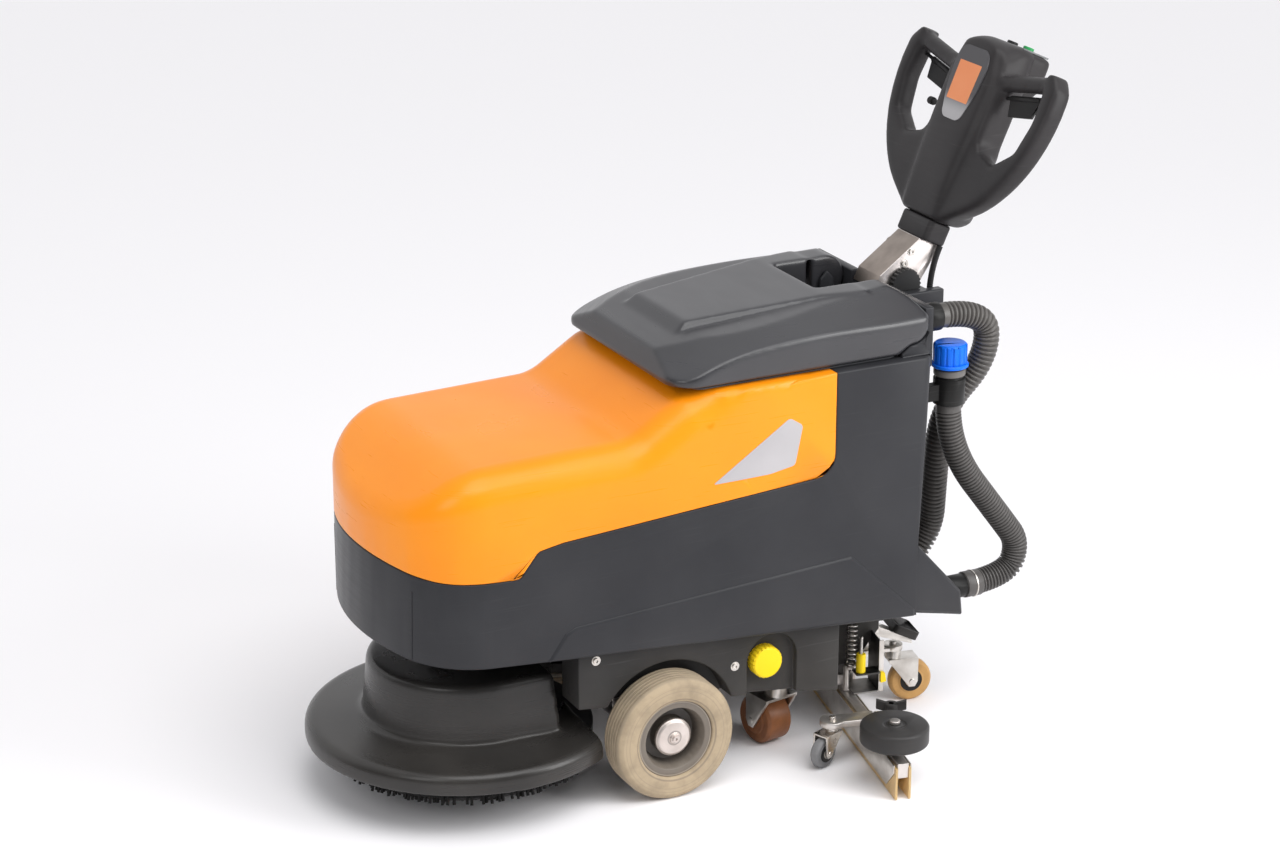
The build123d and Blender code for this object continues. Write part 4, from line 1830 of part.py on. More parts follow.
def cable_points():
    """Route of the handle cable from the sleeve to the console."""
    side = SLEEVE_HALF - CABLE_RADIUS - 1
    start = head_point(side, SLEEVE_FOOT, -SLEEVE_DEPTH + CABLE_RADIUS + 1)
    end_x = CONSOLE_REAR + 11
    lean = math.tan(math.radians(HEAD_LEAN))
    corner_z = start[2] - (end_x - start[0]) / lean
    return [start, (end_x, side, corner_z), (end_x, side, CONSOLE_BACK_TOP)]


def control_cable():
    """Sheathed cable from the sleeve into the console."""
    path = FilletPolyline(*cable_points(), radius=60)
    return sweep(Plane(origin=path @ 0, z_dir=path % 0) * Circle(CABLE_RADIUS), path=path)


# All pieces, by name

left_tyre = tyre()
left_hub = wheel_hub()
left_cap = hub_cap()
left_fork = chassis_castor_fork()
left_roller = chassis_castor_roller()

NODES = {
    "chassis_frame": chassis_frame(),
    "base_tank": base_tank(),
    "upper_hood": upper_hood(),
    "recovery_tank": recovery_tank(),
    "battery_pair": battery_pair(),
    "vacuum_motor": vacuum_motor(),
    "drive_transaxle": drive_transaxle(),
    "suction_hose": ribbed_hose(suction_points()),
    "hose_fittings": hose_fittings(),
    "drain_hose": ribbed_hose(DRAIN_ROUTE),
    "handle_clevis": handle_clevis(),
    "control_cable": control_cable(),
    "lid": lid(),
    "column_casting": column_casting(),
    "column_sleeve": column_sleeve(),
    "head_front_shell": head_front_shell(),
    "head_rear_shell": head_rear_shell(),
    "label_panel": label_panel(),
    "control_panel": control_panel(),
    "trigger_left": trigger(1),
    "trigger_right": trigger(-1),
    "dosing_lever": dosing_lever(),
    "power_button": push_button(BUTTON_SPACING),
    "suction_button": push_button(-BUTTON_SPACING),
    "filter_cap": filter_cap(),
    "drain_cap": drain_cap(),
    "tyre_left": left_tyre,
    "wheel_hub_left": left_hub,
    "hub_cap_left": left_cap,
    "tyre_right": mirrored(left_tyre),
    "wheel_hub_right": mirrored(left_hub),
    "hub_cap_right": mirrored(left_cap),
    "castor_fork_left": left_fork,
    "castor_roller_left": left_roller,
    "castor_fork_right": mirrored(left_fork),
    "castor_roller_right": mirrored(left_roller),
    "lift_arm_lower": lift_arm(LOWER_ARM_Z),
    "lift_arm_upper": lift_arm(LOWER_ARM_Z + ARM_SPREAD),
    "deck_shroud": deck_shroud(),
    "brush_motor": brush_motor(),
    "disc_brush": disc_brush(),
    "swing_arm": swing_arm(),
    "squeegee_hose": ribbed_hose(pickup_points()),
    "lift_spring": lift_spring(),
    "squeegee_body": squeegee_body(),
    "squeegee_blades": squeegee_blades(),
    "blade_clamps": blade_clamps(),
    "rear_bracket": rear_bracket(),
    "pedal_arm": pedal_arm(),
    "pedal_pad": pedal_pad(),
    "rear_castor_fork": rear_castor_fork(),
    "rear_castor_wheel": rear_castor_wheel(),
    "bumper_roller_left": bumper_roller(1),
    "bumper_roller_right": bumper_roller(-1),
    "wing_knob_left": wing_knob(1),
    "wing_knob_right": wing_knob(-1),
    "small_castor_fork_left": small_castor_fork(1),
    "small_castor_wheel_left": small_castor_wheel(1),
    "small_castor_fork_right": small_castor_fork(-1),
    "small_castor_wheel_right": small_castor_wheel(-1),
}

# Move the machine so that the origin is the bottom centre of its box

boxes = [shape.bounding_box() for shape in NODES.values()]
low_x = min(b.min.X for b in boxes)
high_x = max(b.max.X for b in boxes)
low_y = min(b.min.Y for b in boxes)
high_y = max(b.max.Y for b in boxes)
low_z = min(b.min.Z for b in boxes)
SHIFT = (-(low_x + high_x) / 2, -(low_y + high_y) / 2, -low_z)
print("box", [round(v, 2) for v in (low_x, high_x, low_y, high_y, low_z)], "shift", [round(v, 3) for v in SHIFT])

os.makedirs("parts", exist_ok=True)
for name, shape in NODES.items():
    export_step(Pos(*SHIFT) * shape, "parts/" + name + ".step")
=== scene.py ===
import json
import math

import bmesh
import bpy
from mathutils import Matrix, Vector
from mathutils.bvhtree import BVHTree


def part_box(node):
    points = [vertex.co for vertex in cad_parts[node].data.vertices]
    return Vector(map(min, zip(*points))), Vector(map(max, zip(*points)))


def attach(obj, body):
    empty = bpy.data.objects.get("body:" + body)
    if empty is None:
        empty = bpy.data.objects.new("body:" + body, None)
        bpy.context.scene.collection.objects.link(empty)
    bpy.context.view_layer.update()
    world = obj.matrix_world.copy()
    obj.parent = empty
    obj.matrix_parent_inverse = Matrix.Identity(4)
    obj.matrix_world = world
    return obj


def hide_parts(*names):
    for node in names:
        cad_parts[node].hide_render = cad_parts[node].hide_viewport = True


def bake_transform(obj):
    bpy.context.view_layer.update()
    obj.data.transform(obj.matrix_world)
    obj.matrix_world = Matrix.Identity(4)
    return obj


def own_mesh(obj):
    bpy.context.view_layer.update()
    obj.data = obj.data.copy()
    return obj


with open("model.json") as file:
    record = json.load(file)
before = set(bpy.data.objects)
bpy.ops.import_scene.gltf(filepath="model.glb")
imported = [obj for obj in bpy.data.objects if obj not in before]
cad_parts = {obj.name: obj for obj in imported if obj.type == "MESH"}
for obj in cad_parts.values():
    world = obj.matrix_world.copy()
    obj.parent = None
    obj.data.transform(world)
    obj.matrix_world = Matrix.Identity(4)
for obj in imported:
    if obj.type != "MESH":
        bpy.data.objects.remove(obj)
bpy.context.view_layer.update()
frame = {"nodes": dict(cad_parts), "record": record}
nodes = frame["nodes"]

# The spot on the floor under the middle of the drive axle. Every size below is taken
# from there in millimetres: ahead, to the machine's left, and up.
left_low, left_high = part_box("tyre_left")
right_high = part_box("tyre_right")[1]
axle_spot = Vector(((left_low.x + left_high.x) / 2, (left_low.y + right_high.y) / 2, 0.0))


def spot(ahead, left, up):
    return axle_spot + Vector((ahead, left, up)) / 1000.0


# The room: a pale photo-studio floor that runs into a white backdrop, even soft light from
# above, and a camera at the height of someone standing ahead and to the left of the machine.
def set_up(name, data):
    """Puts a camera, a lamp or a mesh in the scene."""
    thing = bpy.data.objects.new(name, data)
    bpy.context.scene.collection.objects.link(thing)
    return thing


def turned_to(way):
    """The turn of a camera or a lamp that looks along a direction."""
    return way.to_track_quat("-Z", "Y").to_euler()


camera_data = bpy.data.cameras.new("studio_camera")
camera_data.sensor_fit = "HORIZONTAL"
camera_data.sensor_width = 36.0
camera_data.lens = 88.57
camera = set_up("studio_camera", camera_data)
camera.location = spot(2014, 4114, 2195)
camera_yaw, camera_dip = math.radians(26.69), math.radians(19.93)
looking = Vector((
    -math.sin(camera_yaw) * math.cos(camera_dip),
    -math.cos(camera_yaw) * math.cos(camera_dip),
    -math.sin(camera_dip),
))
camera.rotation_euler = turned_to(looking)
bpy.context.scene.camera = camera
bpy.context.scene.view_settings.view_transform = "Standard"


def fed(tree, node, sockets):
    """Gives a node's inputs their values; where a value is another node's output, it is linked."""
    for title, value in sockets.items():
        if isinstance(value, bpy.types.NodeSocket):
            tree.links.new(value, node.inputs[title])
        else:
            node.inputs[title].default_value = value
    return node


def added(tree, kind, sockets=None, **choices):
    """A new node with its own choices made and its inputs fed."""
    node = tree.nodes.new(kind)
    for choice, value in choices.items():
        setattr(node, choice, value)
    return fed(tree, node, sockets or {})


def maths(tree, operation, *terms):
    """One step of arithmetic on numbers and outputs."""
    return added(tree, "ShaderNodeMath", dict(enumerate(terms)), operation=operation).outputs[0]


def vectors(tree, operation, *terms):
    """One step of vector arithmetic; a product, a distance or a length is a number."""
    step = added(tree, "ShaderNodeVectorMath", dict(enumerate(terms)), operation=operation)
    return step.outputs["Value" if operation in ("DOT_PRODUCT", "DISTANCE", "LENGTH") else "Vector"]


def ranged(tree, value, low, high, least=0.0, most=1.0, run="LINEAR"):
    """Turns a value that runs from low to high into one that runs from least to most."""
    ends = {"Value": value, "From Min": low, "From Max": high, "To Min": least, "To Max": most}
    return added(tree, "ShaderNodeMapRange", ends, interpolation_type=run).outputs[0]


world = bpy.data.worlds.new("studio_world")
bpy.context.scene.world = world
world.use_nodes = True
sky = world.node_tree
sky_light = fed(sky, sky.nodes["Background"], {"Color": (0.97, 0.98, 1.0, 1.0), "Strength": 0.52})
sky_white = added(sky, "ShaderNodeBackground", {"Color": (0.97, 0.955, 0.97, 1.0), "Strength": 1.0})
ray = added(sky, "ShaderNodeLightPath").outputs
sky_way = added(sky, "ShaderNodeTexCoord").outputs["Generated"]
far_side = vectors(sky, "DOT_PRODUCT", sky_way, (-0.42, -0.80, 0.42))
paper_edge = ranged(sky, far_side, -0.25, 0.45, least=0.16, run="SMOOTHSTEP")
backdrop = added(sky, "ShaderNodeBackground", {"Color": (0.97, 0.965, 0.98, 1.0), "Strength": paper_edge})
straight_seen = maths(sky, "MAXIMUM", ray["Is Camera Ray"], ray["Is Transmission Ray"])
mirrored = added(sky, "ShaderNodeMixShader", {
    "Fac": ray["Is Glossy Ray"], 1: sky_light.outputs[0], 2: backdrop.outputs[0]})
sky_mix = added(sky, "ShaderNodeMixShader", {
    "Fac": straight_seen, 1: mirrored.outputs[0], 2: sky_white.outputs[0]})
fed(sky, sky.nodes["World Output"], {"Surface": sky_mix.outputs[0]})


def softbox(name, place, aim, width, height, power):
    lamp = bpy.data.lights.new(name, "AREA")
    lamp.shape = "RECTANGLE"
    lamp.size = width
    lamp.size_y = height
    lamp.energy = power
    box = set_up(name, lamp)
    box.location = place
    box.rotation_euler = turned_to(aim - place)


ceiling = bpy.data.lights.new("ceiling_light", "SUN")
ceiling.energy = 1.4
ceiling.angle = math.radians(48)
set_up("ceiling_light", ceiling).rotation_euler = turned_to(Vector((0.10, -0.42, -1.0)))
softbox("front_softbox", spot(2400, 1500, 2100), spot(150, 0, 450), 1.2, 1.2, 14.0)
softbox("top_softbox", spot(500, 1500, 2700), spot(150, 0, 300), 2.4, 0.5, 7.0)
softbox("side_softbox", spot(-1700, 1900, 1500), spot(-250, 0, 550), 1.2, 1.8, 44.0)


def new_piece(name, points, edges=(), faces=()):
    mesh = bpy.data.meshes.new(name)
    mesh.from_pydata(points, edges, faces)
    return set_up(name, mesh)


floor_half = 30
floor_corners = [(x * floor_half, y * floor_half, 0) for x, y in ((-1, -1), (1, -1), (1, 1), (-1, 1))]
studio_floor = new_piece("studio_floor", floor_corners, (), [(0, 1, 2, 3)])
floor_paper = bpy.data.materials.new("floor_paper")
floor_paper.use_nodes = True
fed(floor_paper.node_tree, floor_paper.node_tree.nodes["Principled BSDF"], {
    "Base Color": (0.945, 0.93, 0.945, 1.0), "Roughness": 0.75, "Specular IOR Level": 0.15})
studio_floor.data.materials.append(floor_paper)


# Chassis: a black rotationally moulded tub with wheel arches, drive bay and castor
# bosses, on which everything else is bolted. Its face has a fine sand-blast grain.
def blank_finish(name):
    """A new material, its tree, its shader, and the places on the piece that its patterns read."""
    finish = bpy.data.materials.new(name)
    finish.use_nodes = True
    tree = finish.node_tree
    where = added(tree, "ShaderNodeTexCoord").outputs["Object"]
    return finish, tree, tree.nodes["Principled BSDF"], where


def noise(tree, place, scale, detail=2.0, rough=0.5):
    """A cloudy value over the piece; a larger scale gives a finer grain."""
    grain = {"Vector": place, "Scale": scale, "Detail": detail, "Roughness": rough}
    return added(tree, "ShaderNodeTexNoise", grain).outputs["Fac"]


def tinted(tree, share, under, over):
    """Lays a share of a colour over another one, which may be an output."""
    if not isinstance(under, bpy.types.NodeSocket):
        under = (*under, 1.0)
    mix = added(tree, "ShaderNodeMix", {0: share, 6: under, 7: (*over, 1.0)}, data_type="RGBA")
    return mix.outputs[2]


def grained(tree, height, strength, depth):
    """The normal of a face with fine relief."""
    relief = {"Height": height, "Strength": strength, "Distance": depth}
    return added(tree, "ShaderNodeBump", relief).outputs[0]


def moulded(name, colour, faded, rough, grain=900.0, bump=0.12, dust=0.0, scratch=0.35, shine=0.2):
    """Moulded plastic: cloudy colour, fine mould grain, rubbed streaks and scratches, dust low down."""
    finish, tree, plastic, where = blank_finish(name)
    cloud = noise(tree, where, scale=7.0, detail=5.0)
    shade = tinted(tree, ranged(tree, cloud, 0.35, 0.7), colour, faded)
    rubs = {"Vector": where, "Scale": (9.0, 9.0, 240.0), "Rotation": (0.25, 0.12, 0.0)}
    streak = noise(tree, added(tree, "ShaderNodeMapping", rubs).outputs[0], scale=1.0, detail=6.0)
    rubbed_colour = [channel * 0.75 + 0.06 for channel in faded]
    shade = tinted(tree, ranged(tree, streak, 0.62, 0.8, most=scratch), shade, rubbed_colour)
    if dust:
        height = added(tree, "ShaderNodeSeparateXYZ", {0: where}).outputs["Z"]
        dusted = maths(tree, "MULTIPLY", ranged(tree, height, 0.3, 0.05, most=dust), cloud)
        shade = tinted(tree, dusted, shade, (0.30, 0.27, 0.235))
    gloss = ranged(tree, streak, 0.0, 1.0, rough - 0.07, rough + 0.09)
    pits = noise(tree, where, scale=grain)
    fed(tree, plastic, {"Base Color": shade, "Roughness": gloss, "Specular IOR Level": shine,
                        "Normal": grained(tree, pits, bump, depth=0.0006)})
    return finish


body_of = {}
for body, held in frame["record"]["behaviour"]["bodies"].items():
    for name in held:
        body_of[name] = body


def settled(piece):
    """Keeps what the piece's modifiers make as its plain mesh."""
    bpy.context.view_layer.update()
    result = bpy.data.meshes.new_from_object(piece.evaluated_get(bpy.context.evaluated_depsgraph_get()))
    piece.modifiers.clear()
    piece.data = result
    return piece


def in_place_of(piece, *names):
    """The piece stands for CAD pieces of one body and moves with it."""
    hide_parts(*names)
    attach(piece, body_of[names[0]])


def merged_copy(name):
    """A copy of a CAD piece with its facets joined into whole faces."""
    weld, flat = 0.00002, math.radians(0.4)
    work = bmesh.new()
    work.from_mesh(nodes[name].data)
    bmesh.ops.remove_doubles(work, verts=work.verts, dist=weld)
    bmesh.ops.dissolve_limit(work, angle_limit=flat, verts=work.verts, edges=work.edges)
    return work


def room_for(edge, sharp, width):
    """The widest rounding that an edge has room for between its neighbours."""
    room = width
    for loop in edge.link_loops:
        for corner, beside in ((loop, loop.link_loop_prev), (loop.link_loop_next, loop.link_loop_next)):
            turn = min(corner.calc_angle(), math.pi - 0.001)
            span = beside.edge.calc_length()
            if beside.edge in sharp:
                room = min(room, 0.45 * min(span, edge.calc_length()) * math.tan(turn / 2))
            else:
                room = min(room, 0.8 * span * math.sin(turn))
    return room


def eased(work, middle, reach, passes):
    """Irons out a rough place of a mesh: fine facets within reach of its middle, relaxed towards it."""
    reach = reach / 1000.0
    facet, halvings, pull = 0.007, 7, 0.6
    for step in range(halvings):
        long = []
        for line in work.edges:
            span = line.calc_length()
            centre = (line.verts[0].co + line.verts[1].co) / 2
            if span > facet and (centre - middle).length < reach + span / 4:
                long.append(line)
        if not long:
            break
        bmesh.ops.subdivide_edges(work, edges=long, cuts=1)
        bmesh.ops.triangulate(work, faces=[face for face in work.faces if len(face.verts) > 3])
    near = [(point, 1.0 - ((point.co - middle).length / reach) ** 2) for point in work.verts
            if (point.co - middle).length < reach]
    for step in range(passes):
        moved = []
        for point, share in near:
            beside = [line.other_vert(point).co for line in point.link_edges]
            moved.append(point.co.lerp(sum(beside, Vector()) / len(beside), pull * share))
        for (point, share), place in zip(near, moved):
            point.co = place


def rounded(names, finish, edge, steps=2, rough_places=()):
    """CAD pieces with their edges rounded by so many millimetres, as a mould leaves them."""
    width, crease = edge / 1000.0, math.radians(28)
    for name in names:
        work = merged_copy(name)
        for middle, reach, passes in rough_places:
            eased(work, middle, reach, passes)
        weight = work.edges.layers.float.new("bevel_weight_edge")
        sharp = {line for line in work.edges if line.calc_face_angle(0.0) > crease}
        for line in sharp:
            line[weight] = room_for(line, sharp, width) / width
        solid = BVHTree.FromBMesh(work)
        piece = new_piece(name + "_rounded", [])
        work.to_mesh(piece.data)
        work.free()
        piece.data.shade_smooth()
        piece.data.materials.append(finish)
        bevel = piece.modifiers.new("edge", "BEVEL")
        bevel.width = width
        bevel.segments = steps
        bevel.limit_method = "WEIGHT"
        bevel.use_clamp_overlap = False
        bevel.harden_normals = True
        settled(piece)
        low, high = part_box(name)
        for vertex in piece.data.vertices:
            near, facing, index, gap = solid.find_nearest(vertex.co)
            if gap > 0.5 * width:
                vertex.co = near
            vertex.co = [min(max(vertex.co[axis], low[axis]), high[axis]) for axis in range(3)]
        in_place_of(piece, name)


chassis_black = moulded("chassis_black", (0.020, 0.020, 0.0205), (0.031, 0.030, 0.030), 0.44, dust=0.25)
rounded(["chassis_frame"], chassis_black, 2.0)


# Drive: the gearbox and axle tube of the traction motor, die-cast aluminium bolted across
# the chassis between the wheels. Its skin is matt with a film of dust.
def metal(name, colour, dull, rough, grain, stretch, bump=0.1, metallic=1.0):
    """Cast, plated or painted metal: a grain along the given stretch under a patchy film of use."""
    finish, tree, skin, where = blank_finish(name)
    run = added(tree, "ShaderNodeMapping", {"Vector": where, "Scale": stretch}).outputs[0]
    lines = noise(tree, run, scale=grain, detail=4.0)
    film = noise(tree, where, scale=26.0, detail=6.0)
    shade = tinted(tree, ranged(tree, film, 0.38, 0.68), colour, dull)
    gloss = ranged(tree, film, 0.0, 1.0, rough - 0.1, rough + 0.14)
    fed(tree, skin, {"Base Color": shade, "Metallic": metallic, "Roughness": gloss,
                     "Normal": grained(tree, lines, bump, depth=0.0005)})
    return finish


even, drawn = (1, 1, 1), (1, 9, 30)
cast_silver = metal("cast_silver", (0.74, 0.70, 0.67), (0.58, 0.55, 0.52), 0.4, 420.0, even, 0.25)
plated_steel = metal("plated_steel", (0.72, 0.69, 0.65), (0.52, 0.49, 0.45), 0.32, 60.0, drawn)
motor_metal = metal("motor_metal", (0.10, 0.10, 0.105), (0.16, 0.155, 0.15), 0.45, 300.0, even, metallic=0.35)
rounded(["drive_transaxle"], cast_silver, 0.8)


# Drive wheels: a solid tan non-marking tyre on a taupe moulded rim, with a cast cap over
# the axle nut. Darker rings are painted round the tyre's side, the rim's recess is darkened as
# painted shade, and a pale ring on the rim's lip is a painted highlight.
def rubber(name, colour, dark, rough, clear=0.0):
    """Rubber or cast urethane: blotched by use, with fine pores; clear lets some light through."""
    finish, tree, skin, where = blank_finish(name)
    blotch = noise(tree, where, scale=34.0, detail=8.0, rough=0.62)
    shade = tinted(tree, ranged(tree, blotch, 0.42, 0.70), colour, dark)
    gloss = ranged(tree, blotch, 0.0, 1.0, rough - 0.1, rough + 0.1)
    pores = noise(tree, where, scale=1400.0)
    fed(tree, skin, {"Base Color": shade, "Roughness": gloss, "Specular IOR Level": 0.3,
                     "Transmission Weight": clear, "Normal": grained(tree, pores, 0.12, depth=0.0004)})
    return finish


def ringed(finish, ahead, up, bands):
    """Tints rings round an axle that runs across the machine; a band is inner, outer, colour and share."""
    tree = finish.node_tree
    skin = tree.nodes["Principled BSDF"]
    shade = skin.inputs["Base Color"].links[0].from_socket
    where = added(tree, "ShaderNodeTexCoord").outputs["Object"]
    axle = spot(ahead, 0, up)
    away = vectors(tree, "DISTANCE", vectors(tree, "MULTIPLY", where, (1, 0, 1)), (axle.x, 0.0, axle.z))
    for inner, outer, colour, share in bands:
        middle, half = (inner + outer) / 2000.0, (outer - inner) / 2000.0
        off = maths(tree, "ABSOLUTE", maths(tree, "SUBTRACT", away, middle))
        within = ranged(tree, off, half, half * 0.6, most=share, run="SMOOTHSTEP")
        shade = tinted(tree, within, shade, colour)
    fed(tree, skin, {"Base Color": shade})


tyre_tan = rubber("tyre_tan", (0.425, 0.335, 0.225), (0.315, 0.25, 0.172), 0.72)
ringed(tyre_tan, 0, 100, [(66, 69, (0.20, 0.16, 0.12), 0.6), (80, 82, (0.26, 0.21, 0.16), 0.35),
                          (86, 87.5, (0.28, 0.225, 0.165), 0.35), (97, 104, (0.31, 0.255, 0.19), 0.45)])
rim_taupe = moulded("rim_taupe", (0.185, 0.158, 0.13), (0.145, 0.123, 0.10), 0.4, shine=0.5)
# painted shade darkens the rim's recess and a painted highlight lightens its lip
ringed(rim_taupe, 0, 100, [(20, 49, (0.055, 0.047, 0.04), 0.85), (59.5, 62, (0.42, 0.37, 0.31), 0.6)])
cap_silver = metal("cap_silver", (0.76, 0.69, 0.65), (0.62, 0.56, 0.52), 0.44, 420.0, even, 0.2)
ringed(cap_silver, 0, 100, [(9.5, 12.5, (0.30, 0.27, 0.25), 0.7), (27, 29, (0.40, 0.36, 0.33), 0.5)])
rounded(["tyre_left", "tyre_right"], tyre_tan, 1.2)
rounded(["wheel_hub_left", "wheel_hub_right"], rim_taupe, 0.9)
rounded(["hub_cap_left", "hub_cap_right"], cap_silver, 0.8)


# Castors under the rear of the chassis: pressed steel forks that swivel on a kingpin and
# carry brown polyurethane rollers.
roller_brown = rubber("roller_brown", (0.25, 0.095, 0.036), (0.165, 0.062, 0.026), 0.42)
rounded(["castor_fork_left", "castor_fork_right"], plated_steel, 0.6)
rounded(["castor_roller_left", "castor_roller_right"], roller_brown, 1.0)


# Base tank: the clean-water tank, one hollow dark grey moulding that wraps the machine
# and rises behind as a tower. It carries the hood, the console and the hose stubs.
def plate(name, outline, out, thick, finish, corner, edge=0.3):
    """A thin plate raised from its outline, with its corners and its upper edge rounded."""
    count = len(outline)
    lift = out.normalized() * thick / 1000.0
    points = [Vector(point) for point in outline] + [Vector(point) + lift for point in outline]
    faces = [tuple(range(count - 1, -1, -1)), tuple(range(count, 2 * count))]
    faces += [(i, (i + 1) % count, count + (i + 1) % count, count + i) for i in range(count)]
    piece = new_piece(name, points, (), faces)
    work = bmesh.new()
    work.from_mesh(piece.data)
    bmesh.ops.recalc_face_normals(work, faces=work.faces)
    upright = [line for line in work.edges if line.calc_length() < thick / 900.0]
    bmesh.ops.bevel(work, geom=upright, offset=corner / 1000.0, segments=6, profile=0.5, affect="EDGES")
    work.to_mesh(piece.data)
    work.free()
    piece.data.shade_smooth()
    piece.data.materials.append(finish)
    rim = piece.modifiers.new("edge", "BEVEL")
    rim.width = edge / 1000.0
    rim.segments = 2
    rim.limit_method = "ANGLE"
    rim.angle_limit = math.radians(50)
    rim.harden_normals = True
    return settled(piece)


def extra_on(piece, body):
    """The piece is one more on a body."""
    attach(piece, body)


slate_plastic = moulded("slate_plastic", (0.027, 0.0275, 0.031), (0.035, 0.0355, 0.039), 0.34,
                        dust=0.12, scratch=0.15, shine=0.2)
rounded(["base_tank"], slate_plastic, 3.0, 3)
mould_line = [(398.2, 154.4, 391), (399.6, 151.6, 391), (400.6, 148.6, 281), (399.2, 151.4, 281)]
hands = (("left", 1), ("right", -1))
for side, hand in hands:
    line_out = Vector((0.89, hand * 0.46, 0))
    line_points = [spot(ahead, hand * left, up) - line_out * 0.001 for ahead, left, up in mould_line]
    line_piece = plate("tank_mould_line_" + side, line_points, line_out, 1.6, slate_plastic, 0.3, 0.2)
    extra_on(line_piece, "chassis")


# Inside: two sealed batteries and the suction turbine stand on the tank's floor, and the
# recovery tub hangs by its flange under the lid. All are plain moulded cases.
black_plastic = moulded("black_plastic", (0.013, 0.013, 0.014), (0.024, 0.023, 0.023), 0.42, dust=0.18)
tub_plastic = moulded("tub_plastic", (0.055, 0.058, 0.064), (0.075, 0.078, 0.082), 0.5)
rounded(["battery_pair"], black_plastic, 2.0)
rounded(["vacuum_motor"], motor_metal, 1.0)
rounded(["recovery_tank"], tub_plastic, 1.0)


# Hood: the orange shell over the batteries, a glossy moulding that drops over the tank and
# meets it along a stepped seam. Each side carries a bare grey plate.
orange_plastic = moulded("orange_plastic", (0.93, 0.272, 0.004), (0.96, 0.298, 0.006), 0.29, grain=700.0,
                         bump=0.06, scratch=0.08, shine=0.3)
shoulder_ends = [(spot(-110, hand * 206, 612), 95, 60) for side, hand in hands]
rounded(["upper_hood"], orange_plastic, 2.2, 3, shoulder_ends)
plate_grey = moulded("plate_grey", (0.40, 0.385, 0.395), (0.45, 0.435, 0.445), 0.36, bump=0.04, scratch=0.1)
plate_outline = [(-69.5, 499.5), (-200.4, 585.4), (-223.2, 570.4), (-210.5, 507.8),
                 (-167.2, 500.5), (-115.6, 499.7)]
for side, hand in hands:
    outline = [spot(ahead, hand * 213.8, up) for ahead, up in plate_outline]
    side_plate = plate("hood_plate_" + side, outline, Vector((0, hand, 0)), 1.2, plate_grey, 5.0)
    extra_on(side_plate, "chassis")


# Lid: the dark grey cover of the recovery tub, hinged at the rear, with a raised panel
# and a pocket for the hand. It is blow-moulded with soft edges and a satin skin.
def reskinned(piece, facet):
    """Draws one even skin of small facets over a piece."""
    skin = piece.modifiers.new("skin", "REMESH")
    skin.mode = "VOXEL"
    skin.voxel_size = facet
    skin.use_smooth_shade = True
    return settled(piece)


def flowed(piece, passes):
    """Lets a skin run smooth over its edges, as plastic does in a mould."""
    flow = piece.modifiers.new("flow", "SMOOTH")
    flow.factor = 0.5
    flow.iterations = passes
    return settled(piece)


def moulded_skin(name, source, facet, passes, kept, finish):
    """A CAD moulding taken over with soft edges; kept is the share of its facets that stays."""
    piece = new_piece(name, [])
    work = merged_copy(source)
    work.to_mesh(piece.data)
    work.free()
    reskinned(piece, facet)
    flowed(piece, passes)
    thinned = piece.modifiers.new("thinned", "DECIMATE")
    thinned.ratio = kept
    settled(piece)
    piece.data.shade_smooth()
    piece.data.materials.clear()
    piece.data.materials.append(finish)
    in_place_of(piece, source)


lid_plastic = moulded("lid_plastic", (0.029, 0.029, 0.0325), (0.036, 0.036, 0.04), 0.29,
                      bump=0.02, scratch=0.02, shine=0.6)
moulded_skin("lid_moulded", "lid", facet=0.0026, passes=22, kept=0.4, finish=lid_plastic)


# Handle column: a silver die-cast lever whose cheeks turn on the cross pin of a black clevis with
# toothed discs, bolted into the sleeve of the handle head. Its forward faces get a brushed grain
# and a darker colour, which is painted shade.
column_silver = metal("column_silver", (0.86, 0.80, 0.77), (0.74, 0.69, 0.66), 0.42, 420.0, even, 0.2)
shaded_front_metal = metal("shaded_front_metal", (0.33, 0.285, 0.25), (0.25, 0.215, 0.19), 0.4, 60.0, (1, 14, 1), 0.15)
handle_plastic = moulded("handle_plastic", (0.027, 0.025, 0.026), (0.039, 0.036, 0.037), 0.4)
rounded(["column_casting"], column_silver, 1.0)
casting_skin = bpy.data.objects["column_casting_rounded"].data
casting_skin.materials.append(shaded_front_metal)
# forward faces take the darker metal as painted shade; the brushed grain is only bump
painted_shade_facing = 0.55
for face in casting_skin.polygons:
    face.material_index = 1 if face.normal.x > painted_shade_facing else 0
rounded(["handle_clevis"], chassis_black, 0.8)
rounded(["column_sleeve"], handle_plastic, 4.0, 3)


# Handle head: two black half shells screwed together, swelling smoothly into a closed loop on
# each side. Both are taken over as one skin whose hump is domed and whose loops run into the grips.
head_foot = spot(-556, 0, 814)
head_lean = math.radians(24.3)
head_up = Vector((-math.sin(head_lean), 0.0, math.cos(head_lean)))
head_out = Vector((math.cos(head_lean), 0.0, math.sin(head_lean)))


def head_spot(side, up, out):
    """A place on the leaning head: to its left, up along it and out of its front, in millimetres."""
    return head_foot + (head_up * up + head_out * out + Vector((0, side, 0))) / 1000.0


def shares(value, none, whole):
    """How far a value has come from none of the way to the whole of it."""
    return min(max((value - none) / (whole - none), 0.0), 1.0)


